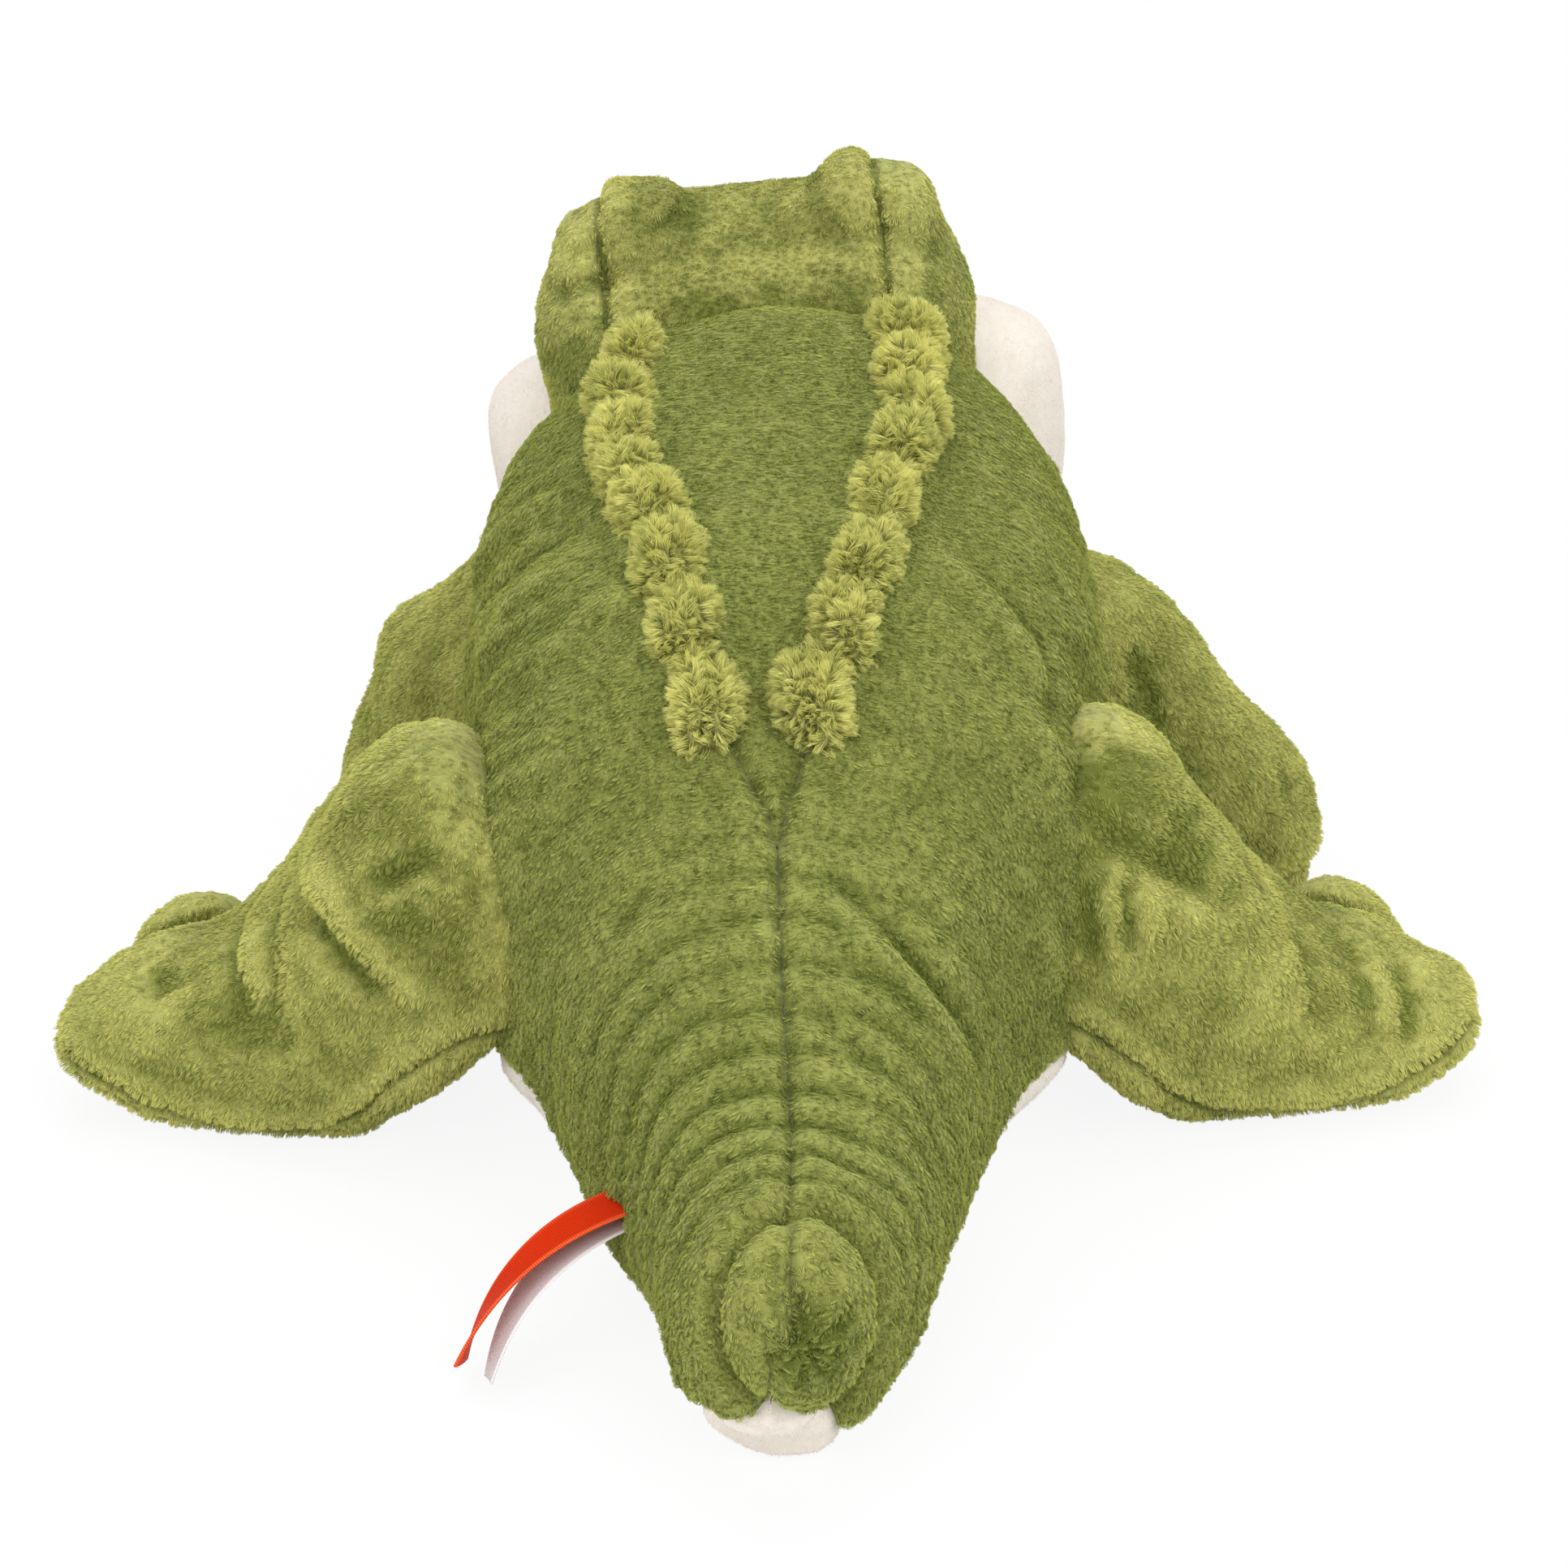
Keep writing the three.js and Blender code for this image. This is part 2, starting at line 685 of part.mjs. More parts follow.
function rolledBlock(x0, x1, z0, z1) {
  const box = new THREE.BoxGeometry(x1 - x0, totalLength, z1 - z0);
  box.translate((x0 + x1) / 2, 0, (z0 + z1) / 2);
  return solid(rolled(box));
}
const crownBlock = (grow) =>
  rolledBlock(-crownHalfWidth - grow, crownHalfWidth + grow, crownBase - grow, headHeight + overrun);
const headLeft = rolledBlock(-headWidth, -seamGap / 2, 0, headHeight + overrun);
const headRight = rolledBlock(seamGap / 2, headWidth, 0, headHeight + overrun);
const headFlanks = headShell.subtract(crownBlock(seamGap));

// Eyes: a plastic dome on a shank, locked inside by a washer
const head = bodyGroup(0, neckY, neckHeight);
const eyeAimShares = new THREE.Vector3(0.2, 0.97, 0.08);
const headTarget = new THREE.Mesh(geometryOf(headSolid(0)));
function eyeParts(side) {
  const aim = new THREE.Vector3(side * eyeAimShares.x, eyeAimShares.y, eyeAimShares.z).normalize();
  const start = new THREE.Vector3(side * outerBump.offset, bumpY, headHeight - outerBump.sink);
  start.addScaledVector(aim, headWidth).applyMatrix4(rollMatrix);
  const inward = aim.clone().negate().transformDirection(rollMatrix);
  const [hit] = new THREE.Raycaster(start, inward).intersectObject(headTarget);
  const turn = new THREE.Quaternion().setFromUnitVectors(new THREE.Vector3(0, 1, 0), hit.face.normal);
  const place = new THREE.Matrix4().compose(hit.point, turn, new THREE.Vector3(1, 1, 1));
  const lathe = (profile) => {
    const points = profile.map(([radius, height]) => new THREE.Vector2(radius, height));
    return solid(new THREE.LatheGeometry(points, roundSides).applyMatrix4(place));
  };
  const radius = eyeDiameter / 2;
  const shank = eyeShankDiameter / 2;
  const dome = [0.2, 0.4, 0.6, 0.8].map((share) => [
    radius * Math.cos((share * Math.PI) / 2),
    seamGap + eyeRise * Math.sin((share * Math.PI) / 2),
  ]);
  const eye = lathe([
    [0, -eyeShankLength],
    [shank, -eyeShankLength],
    [shank, seamGap],
    [radius, seamGap],
    ...dome,
    [0, seamGap + eyeRise],
  ]);
  const bore = shank + seamGap / 2;
  const washerTop = -eyeWasherDepth;
  const washerBase = washerTop - eyeWasherThickness;
  const washerRadius = eyeWasherDiameter / 2;
  const washer = lathe([
    [bore, washerBase],
    [washerRadius, washerBase],
    [washerRadius, washerTop],
    [bore, washerTop],
    [bore, washerBase],
  ]);
  const recess = radius + seamGap;
  const chamber = washerRadius + seamGap;
  const hole = lathe([
    [0, -eyeShankLength - seamGap],
    [chamber, -eyeShankLength - seamGap],
    [chamber, washerTop + seamGap],
    [bore, washerTop + seamGap],
    [bore, 0],
    [recess, 0],
    [recess, recess],
    [0, recess],
  ]);
  const pocket = lathe([
    [0, -eyeShankLength - seamGap],
    [chamber, -eyeShankLength - seamGap],
    [chamber, recess],
    [0, recess],
  ]);
  return { eye, washer, hole, pocket };
}
const eyes = { left: eyeParts(-1), right: eyeParts(1) };

const eyeHoles = eyes.left.hole.add(eyes.right.hole);
piece(head, "crown_panel", headShell.intersect(crownBlock(0)).subtract(eyeHoles), lightPile);
piece(head, "head_side_panel_left", headFlanks.intersect(headLeft).subtract(eyeHoles), greenPile);
piece(head, "head_side_panel_right", headFlanks.intersect(headRight).subtract(eyeHoles), greenPile);
piece(head, "jaw_and_cheeks_panel", jawShell, creamPile);
piece(
  head,
  "head_filling",
  headLining(seamGap)
    .add(jawLining(seamGap))
    .subtract(neckCap)
    .subtract(eyes.left.pocket)
    .subtract(eyes.right.pocket),
  fillingWhite,
);
for (const [side, parts] of Object.entries(eyes)) {
  piece(head, `eye_${side}`, parts.eye, eyeBlack);
  piece(head, `eye_washer_${side}`, parts.washer, washerWhite);
}

// Legs
function leg(name, sizes, shares, side, reach, toeReach, rootShare = sizes.rootShare) {
  const rootY = tailTipY + rootShare * bodyLength;
  const hingeHeight = sizes.height - sizes.hingeDrop;
  const legForm = form({
    stations: shares,
    length: reach - sizes.start,
    width: sizes.width,
    height: sizes.height,
    section: legSectionShares,
    rings: legRings,
    sides: legSides,
  });
  const outward = (geometry) => {
    geometry.rotateZ(-Math.PI / 2);
    geometry.scale(1, -1, 1);
    geometry.translate(sizes.start, rootY, 0);
    if (side < 0) geometry.scale(-1, 1, 1);
    if (side > 0) geometry.setIndex([...geometry.index.array].reverse());
    return geometry;
  };
  const toeLength = sizes.width * sizes.toeLengthShare;
  const legSolid = (distance, rings, sides) => {
    const grow = 2 * distance;
    const center = new THREE.Vector3(
      side * (toeReach - toeLength / 2),
      rootY + sizes.toeShift,
      sizes.toeHeight / 2,
    );
    const size = new THREE.Vector3(toeLength + grow, sizes.toeWidth + grow, sizes.toeHeight + grow);
    const toe = solid(ellipsoid(center, size, lobeSides, lobeRings));
    return solid(offset(outward(legForm.build(rings, sides)), distance)).add(toe);
  };
  const flank = trunkRingAt(rootY);
  const hingeX = side * hingeReach(flank, hingeHeight) + flank.shift;
  const relief = new THREE.CylinderGeometry(hingeRelief, hingeRelief, 2 * sizes.width, roundSides / 2);
  relief.translate(hingeX, rootY, hingeHeight);
  const clear = trunkKeepOut.add(solid(relief));
  const lining = (gap) => legSolid(-liningDepth - gap, legLiningRings, legLiningSides);
  const shell = legSolid(0).subtract(lining(0)).subtract(clear);
  const core = lining(seamGap);
  const sole = (grow) => {
    const slab = new THREE.BoxGeometry(reach, totalLength, sizes.soleHeight);
    slab.translate(reach / 2, 0, -sizes.soleHeight / 2 + grow);
    slab.rotateY(Math.atan(sizes.soleHeight / reach));
    slab.translate(0, 0, sizes.soleHeight);
    if (side < 0) slab.scale(-1, 1, 1);
    if (side < 0) slab.setIndex([...slab.index.array].reverse());
    return solid(slab);
  };
  const group = bodyGroup(hingeX, rootY, hingeHeight);
  piece(group, `${name}_upper_panel`, shell.subtract(sole(seamGap)), lightPile);
  piece(group, `${name}_sole_panel`, shell.intersect(sole(0)), lightPile);
  piece(group, `${name}_filling`, core.subtract(clear), fillingWhite);
}

// How far out the flank lies at a leg's hinge height
function hingeReach(ring, hingeHeight) {
  const up = (hingeHeight + restDepth - ring.middle) / (ring.high - ring.middle);
  return ring.half * (1 - up ** (2 / ring.top)) ** (ring.side / 2);
}

leg("hind_leg_left", hindLeg, hindShares, -1, hindLeg.reach, hindLeg.toeReach);
leg("hind_leg_right", hindLeg, hindShares, 1, hindLeg.reach, hindLeg.toeReach, hindLeg.rightRootShare);
leg("front_leg_left", frontLeg, frontShares, -1, frontLeg.leftReach, frontLeg.leftToeReach);
leg("front_leg_right", frontLeg, frontShares, 1, frontLeg.reach, frontLeg.toeReach);

// Labels: strips sewn into the tail's left seam, curling out and down to just above the floor
const labelY = tailTipY + labelInset;
const labelRing = trunkRingAt(labelY);
const labelX = labelRing.shift - labelRing.half + skinThickness;
const labels = bodyGroup(labelX, labelY, labelHeight);
function label(name, sizes, height, material) {
  const turn = THREE.MathUtils.degToRad(sizes.turnDegrees);
  const run = Math.sqrt(sizes.length ** 2 - sizes.drop ** 2) + 2 * skinThickness;
  const root = new THREE.Vector3(labelX, labelY, height);
  const tip = new THREE.Vector3(
    labelX - run * Math.cos(turn),
    labelY - run * Math.sin(turn),
    Math.max(height - sizes.drop, labelFloorGap + sizes.thickness),
  );
  const bend = new THREE.Vector3().lerpVectors(root, tip, 1 / 2);
  bend.z = THREE.MathUtils.lerp(root.z, bend.z, 1 / 3);
  const path = new THREE.QuadraticBezierCurve3(root, bend, tip);
  const widthAxis = new THREE.Vector3(Math.sin(turn / 2), -Math.cos(turn / 2), 0);
  const positions = [];
  for (let i = 0; i <= labelSteps; i += 1) {
    const share = i / labelSteps;
    const center = path.getPoint(share);
    const along = path.getTangent(share);
    const face = new THREE.Vector3().crossVectors(along, widthAxis).normalize();
    for (const [w, f] of [
      [-1, -1],
      [1, -1],
      [1, 1],
      [-1, 1],
    ]) {
      const corner = center.clone().addScaledVector(widthAxis, (w * sizes.width) / 2);
      corner.addScaledVector(face, (f * sizes.thickness) / 2);
      positions.push(corner.x, corner.y, corner.z);
    }
  }
  const index = [0, 2, 1, 0, 3, 2];
  for (let i = 0; i < labelSteps; i += 1) {
    for (let k = 0; k < 4; k += 1) {
      const a = 4 * i + k;
      const b = 4 * i + ((k + 1) % 4);
      index.push(a, b, b + 4, a, b + 4, a + 4);
    }
  }
  const end = 4 * labelSteps;
  index.push(end, end + 1, end + 2, end, end + 2, end + 3);
  const strip = new THREE.BufferGeometry();
  strip.setAttribute("position", new THREE.Float32BufferAttribute(positions, 3));
  strip.setIndex(index);
  let strap = solid(strip);
  if (strap.volume() < 0) {
    strip.setIndex(index.reverse());
    strap = solid(strip);
  }
  piece(labels, name, strap.subtract(trunkKeepOut), material);
}
label("ribbon_label", ribbon, labelHeight, ribbonRed);
const careSizes = {
  length: ribbon.length - careLabel.shorter,
  width: ribbon.width - careLabel.narrower,
  thickness: careLabel.thickness,
  drop: ribbon.drop - careLabel.higher,
  turnDegrees: careLabel.turnDegrees,
};
label("care_label", careSizes, labelHeight - careLabelDrop, labelWhite);

export default crocodile;
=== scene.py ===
"""Looks of a stuffed plush crocodile that lies on its belly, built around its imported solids."""

import json
import logging
import math
from collections.abc import Sequence
from dataclasses import dataclass, field
from enum import Enum
from itertools import product

import bmesh
import bpy
import numpy as np
from mathutils import Matrix, Vector
from mathutils.bvhtree import BVHTree

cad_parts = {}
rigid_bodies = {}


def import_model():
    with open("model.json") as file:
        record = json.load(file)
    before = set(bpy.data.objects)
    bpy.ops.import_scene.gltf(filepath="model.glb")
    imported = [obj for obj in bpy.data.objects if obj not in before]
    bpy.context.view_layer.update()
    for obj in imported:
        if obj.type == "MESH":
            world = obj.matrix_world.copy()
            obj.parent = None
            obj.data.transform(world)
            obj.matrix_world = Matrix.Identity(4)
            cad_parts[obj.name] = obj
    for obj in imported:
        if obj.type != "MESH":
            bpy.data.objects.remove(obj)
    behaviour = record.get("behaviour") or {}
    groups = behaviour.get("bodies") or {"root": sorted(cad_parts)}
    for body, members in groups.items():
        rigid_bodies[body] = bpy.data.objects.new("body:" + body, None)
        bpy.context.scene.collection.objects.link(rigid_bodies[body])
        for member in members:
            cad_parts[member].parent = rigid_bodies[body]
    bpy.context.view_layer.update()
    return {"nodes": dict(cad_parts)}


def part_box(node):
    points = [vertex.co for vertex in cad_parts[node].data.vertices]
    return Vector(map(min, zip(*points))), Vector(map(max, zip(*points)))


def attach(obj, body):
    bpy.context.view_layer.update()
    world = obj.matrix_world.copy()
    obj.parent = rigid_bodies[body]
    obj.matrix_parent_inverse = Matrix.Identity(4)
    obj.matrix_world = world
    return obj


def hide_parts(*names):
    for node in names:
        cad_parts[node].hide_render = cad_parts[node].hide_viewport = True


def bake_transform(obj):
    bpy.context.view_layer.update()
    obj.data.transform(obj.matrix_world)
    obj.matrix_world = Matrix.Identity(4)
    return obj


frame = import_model()

# Millimetres are the unit of every shape, and metres that of the scene
MM = 0.001
# The cloth's thickness, and how far the toy's weight presses it into the floor
SKIN = 2.0
REST_DEPTH = 0.5
Array = np.ndarray
Row = tuple[float, ...]
Place = tuple[float, float, float]
log = logging.getLogger("crocodile")


class Side(Enum):
    """Left or right of the toy, as the sign of X."""

    LEFT = -1
    RIGHT = 1

    @property
    def word(self) -> str:
        """The side's name in piece names."""
        return self.name.lower()


# Shapes that every piece is made with


def smooth_step(value: Array, low: float, high: float) -> Array:
    """Rises smoothly from 0 at low to 1 at high."""
    share = np.clip((value - low) / (high - low), 0, 1)
    return share * share * (3 - 2 * share)


def dip(distance: Array, width: float) -> Array:
    """A soft bell of height 1 around distance 0."""
    return np.exp(-((distance / width) ** 2))


@dataclass(frozen=True)
class Grain:
    """Smooth seeded noise in space, between about -1 and 1.

    Args:
        size: the size of its lumps in millimetres.
        seed: the seed of its table.
        stretch: how much longer its lumps are along each axis.
    """

    size: float
    seed: int
    stretch: Place = (1, 1, 1)

    def at(self, points: Array) -> Array:
        """The noise at each point.

        Args:
            points: places in millimetres, last axis X, Y, Z.

        Returns:
            One value a point.
        """
        draws = np.random.default_rng(self.seed)
        entries = 256
        table = draws.permutation(entries)
        slopes = draws.normal(size=(entries, 3))
        slopes /= np.linalg.norm(slopes, axis=1, keepdims=True)
        places = points.reshape(-1, 3) / (self.size * np.array(self.stretch))
        cell = np.floor(places).astype(int)
        local = places - cell
        fade = local**3 * (local * (local * 6 - 15) + 10)
        total = np.zeros(len(places))
        for corner in product((0, 1), repeat=3):
            x, y, z = ((cell + corner) % entries).T
            picked = slopes[table[(table[(table[x] + y) % entries] + z) % entries]]
            weight = np.where(corner, fade, 1 - fade).prod(axis=1)
            total += weight * ((local - corner) * picked).sum(axis=1)
        full_swing = 1.7
        return full_swing * total.reshape(points.shape[:-1])


@dataclass
class Cloth:
    """A surface in millimetres.

    Args:
        points: its points, one a row.
        faces: its faces, each the numbers of its points, anticlockwise from outside.
    """

    points: Array
    faces: list[tuple[int, ...]]

    @staticmethod
    def of_mesh(mesh: bpy.types.Mesh) -> "Cloth":
        """The surface of a Blender mesh whose unit is a millimetre.

        Args:
            mesh: the mesh.

        Returns:
            The surface.
        """
        points = np.empty(3 * len(mesh.vertices))
        mesh.vertices.foreach_get("co", points)
        return Cloth(points.reshape(-1, 3), [tuple(face.vertices) for face in mesh.polygons])

    @staticmethod
    def of_grid(grid: Array, ring: bool = False) -> "Cloth":
        """A sheet of quads through a grid of points.

        Args:
            grid: points by row and column.
            ring: whether the last column joins the first.

        Returns:
            The sheet.
        """
        rows, columns = grid.shape[:2]
        number = np.arange(rows * columns).reshape(rows, columns)
        if ring:
            number = np.hstack([number, number[:, :1]])
        corners = (number[:-1, :-1], number[1:, :-1], number[1:, 1:], number[:-1, 1:])
        faces = np.stack(corners, axis=-1).reshape(-1, 4)
        return Cloth(grid.reshape(-1, 3), [tuple(face) for face in faces.tolist()])

    def mesh(self, name: str, scale: float = 1) -> bpy.types.Mesh:
        """A Blender mesh of the surface.

        Args:
            name: its name.
            scale: what a millimetre becomes.

        Returns:
            The mesh.
        """
        made = bpy.data.meshes.new(name)
        no_edges = []
        made.from_pydata((self.points * scale).tolist(), no_edges, self.faces)
        made.update()
        return made

    def normals(self) -> Array:
        """The normal at each point.

        Returns:
            One row a point.
        """
        mesh = self.mesh("scratch")
        found = np.empty(3 * len(self.points))
        mesh.vertex_normals.foreach_get("vector", found)
        bpy.data.meshes.remove(mesh)
        return found.reshape(-1, 3)

    def centers(self) -> Array:
        """The middle of each face."""
        return np.array([self.points[list(face)].mean(axis=0) for face in self.faces])

    def part(self, keep: Array) -> "Cloth":
        """The faces that a mask keeps, with their own points.

        Args:
            keep: the mask, one value a face.

        Returns:
            That part.
        """
        faces = [face for face, kept in zip(self.faces, keep, strict=True) if kept]
        used = np.unique(np.concatenate([np.array(face) for face in faces]))
        number = np.full(len(self.points), -1)
        number[used] = np.arange(len(used))
        return Cloth(self.points[used], [tuple(number[list(face)].tolist()) for face in faces])

    def placed(self, matrix: Matrix) -> "Cloth":
        """The surface moved by a matrix in millimetres."""
        turn = np.array(matrix)
        return Cloth(self.points @ turn[:3, :3].T + turn[:3, 3], self.faces)

    def flipped(self) -> "Cloth":
        """The surface with its outside turned in."""
        return Cloth(self.points, [face[::-1] for face in self.faces])

    def cut(self, place: Sequence[float], direction: Sequence[float]) -> "Cloth":
        """The surface with an edge wherever a plane crosses it.

        Args:
            place: a point of the plane.
            direction: the plane's normal.

        Returns:
            The surface, whole, with the new edges.
        """
        work = bmesh.new()
        mesh = self.mesh("scratch")
        work.from_mesh(mesh)
        geometry = [*work.verts, *work.edges, *work.faces]
        bmesh.ops.bisect_plane(
            work, geom=geometry, dist=0.05, plane_co=place, plane_no=Vector(direction).normalized()
        )
        work.to_mesh(mesh)
        work.free()
        found = Cloth.of_mesh(mesh)
        bpy.data.meshes.remove(mesh)
        return found

    def edges(self) -> list[tuple[int, int]]:
        """The edges of every face in turn, so an inner edge comes once each way."""
        return [pair for face in self.faces for pair in zip(face, face[1:] + face[:1], strict=True)]

    def relaxed(self, times: int, share: float = 0.5) -> "Cloth":
        """The surface after its points move towards their neighbours.

        Args:
            times: how often.
            share: how far each time.

        Returns:
            The smoother surface.
        """
        pairs = np.array(self.edges())
        pairs = np.vstack([pairs, pairs[:, ::-1]])
        count = np.bincount(pairs[:, 0], minlength=len(self.points))[:, None]
        points = self.points.copy()
        for _ in range(times):
            ends = points[pairs[:, 1]]
            total = np.stack([np.bincount(pairs[:, 0], axis, len(points)) for axis in ends.T], axis=1)
            points += share * (total / np.maximum(count, 1) - points)
        return Cloth(points, self.faces)

    def thick(self, depth: float = SKIN) -> "Cloth":
        """The closed shell between the surface and its copy below. The outside's points come first.

        Args:
            depth: how far the copy lies inside.

        Returns:
            The shell.
        """
        count = len(self.points)
        inner = self.points - depth * self.normals()
        inner[:, 2] = np.maximum(inner[:, 2], depth / 4)
        edges = set(self.edges())
        rim = [(b, a, a + count, b + count) for a, b in edges if (b, a) not in edges]
        lining = [tuple(point + count for point in face[::-1]) for face in self.faces]
        return Cloth(np.vstack([self.points, inner]), [*self.faces, *lining, *sorted(rim)])


def joined(cloths: Sequence[Cloth]) -> Cloth:
    """Several surfaces as one, with nothing merged.

    Args:
        cloths: the surfaces.

    Returns:
        The one surface.
    """
    faces, points, start = [], [], 0
    for cloth in cloths:
        points.append(cloth.points)
        faces.extend(tuple(point + start for point in face) for face in cloth.faces)
        start += len(cloth.points)
    return Cloth(np.vstack(points), faces)


def fused(cloths: Sequence[Cloth], voxel: float, relax: int) -> Cloth:
    """One skin around closed surfaces that overlap.

    Args:
        cloths: the closed surfaces.
        voxel: the size of the skin's faces.
        relax: how often the skin is relaxed.

    Returns:
        The skin.
    """
    item = bpy.data.objects.new("scratch", joined(cloths).mesh("scratch"))
    bpy.context.collection.objects.link(item)
    remesh = item.modifiers.new("skin", "REMESH")
    remesh.mode = "VOXEL"
    remesh.voxel_size = voxel
    shown = item.evaluated_get(bpy.context.evaluated_depsgraph_get())
    found = Cloth.of_mesh(shown.to_mesh())
    shown.to_mesh_clear()
    mesh = item.data
    bpy.data.objects.remove(item)
    bpy.data.meshes.remove(mesh)
    return found.relaxed(relax)


def ball(center: Sequence[float], size: Sequence[float], power: float = 1, steps: int = 24) -> Cloth:
    """A closed ellipsoid.

    Args:
        center: its middle.
        size: its whole size along each axis.
        power: 1 for round, less for boxy.
        steps: its rings.

    Returns:
        The ellipsoid.
    """
    nearly_pole = 0.499
    sides = 2 * steps
    rise = np.linspace(-nearly_pole, nearly_pole, steps)[:, None] * math.pi
    turn = np.linspace(0, 2 * math.pi, sides, endpoint=False)[None, :]
    around = np.cos(rise) * np.cos(turn), np.cos(rise) * np.sin(turn)
    grid = np.stack([*around, np.sin(rise) + 0 * turn], axis=-1)
    grid = np.sign(grid) * np.abs(grid) ** power
    skin = Cloth.of_grid(grid * np.array(size) / 2 + np.array(center), ring=True).flipped()
    last = len(skin.points) - sides
    skin.faces.append(tuple(range(sides))[::-1])
    skin.faces.append(tuple(range(last, last + sides)))
    return skin


def curve_through(rows: Array, shares: Array) -> Array:
    """Points of a uniform Catmull-Rom curve.

    Args:
        rows: the points that it passes, one a row.
        shares: places along it, from 0 to 1.

    Returns:
        One row a share.
    """
    padded = np.vstack([2 * rows[0] - rows[1], rows, 2 * rows[-1] - rows[-2]])
    place = np.clip(shares, 0, 1) * (len(rows) - 1)
    index = np.minimum(place.astype(int), len(rows) - 2)
    t = (place - index)[..., None]
    before, start, end, after = (padded[index + step] for step in range(4))
    enter, leave = (end - before) / 2, (after - start) / 2
    return (
        start
        + enter * t
        + (3 * (end - start) - 2 * enter - leave) * t**2
        + (2 * (start - end) + enter + leave) * t**3
    )


@dataclass(frozen=True)
class Fold:
    """A ridge or a crease that fades out at both ends.

    Args:
        path: its corners in millimetres.
        width: half its width.
        height: its height, negative for a crease.
    """

    path: Sequence[Place]
    width: float
    height: float

    def relief(self, points: Array) -> Array:
        """How far it lifts each point.

        Args:
            points: places in the toy's frame.

        Returns:
            Heights in millimetres.
        """
        corners = np.array(self.path, float)
        nearest = np.full(points.shape[:-1], np.inf)
        place = np.zeros(points.shape[:-1])
        for index, (start, end) in enumerate(zip(corners, corners[1:], strict=False)):
            run = end - start
            share = np.clip((points - start) @ run / (run @ run), 0, 1)
            away = np.linalg.norm(points - start - share[..., None] * run, axis=-1)
            place = np.where(away < nearest, (index + share) / (len(corners) - 1), place)
            nearest = np.minimum(nearest, away)
        faded = smooth_step(np.minimum(place, 1 - place), -0.1, 0.3)
        return self.height * dip(nearest, self.width) * faded


def folded(points: Array, folds: Sequence[Fold]) -> Array:
    """The sum of several folds at each point."""
    return sum((fold.relief(points) for fold in folds), np.zeros(points.shape[:-1]))


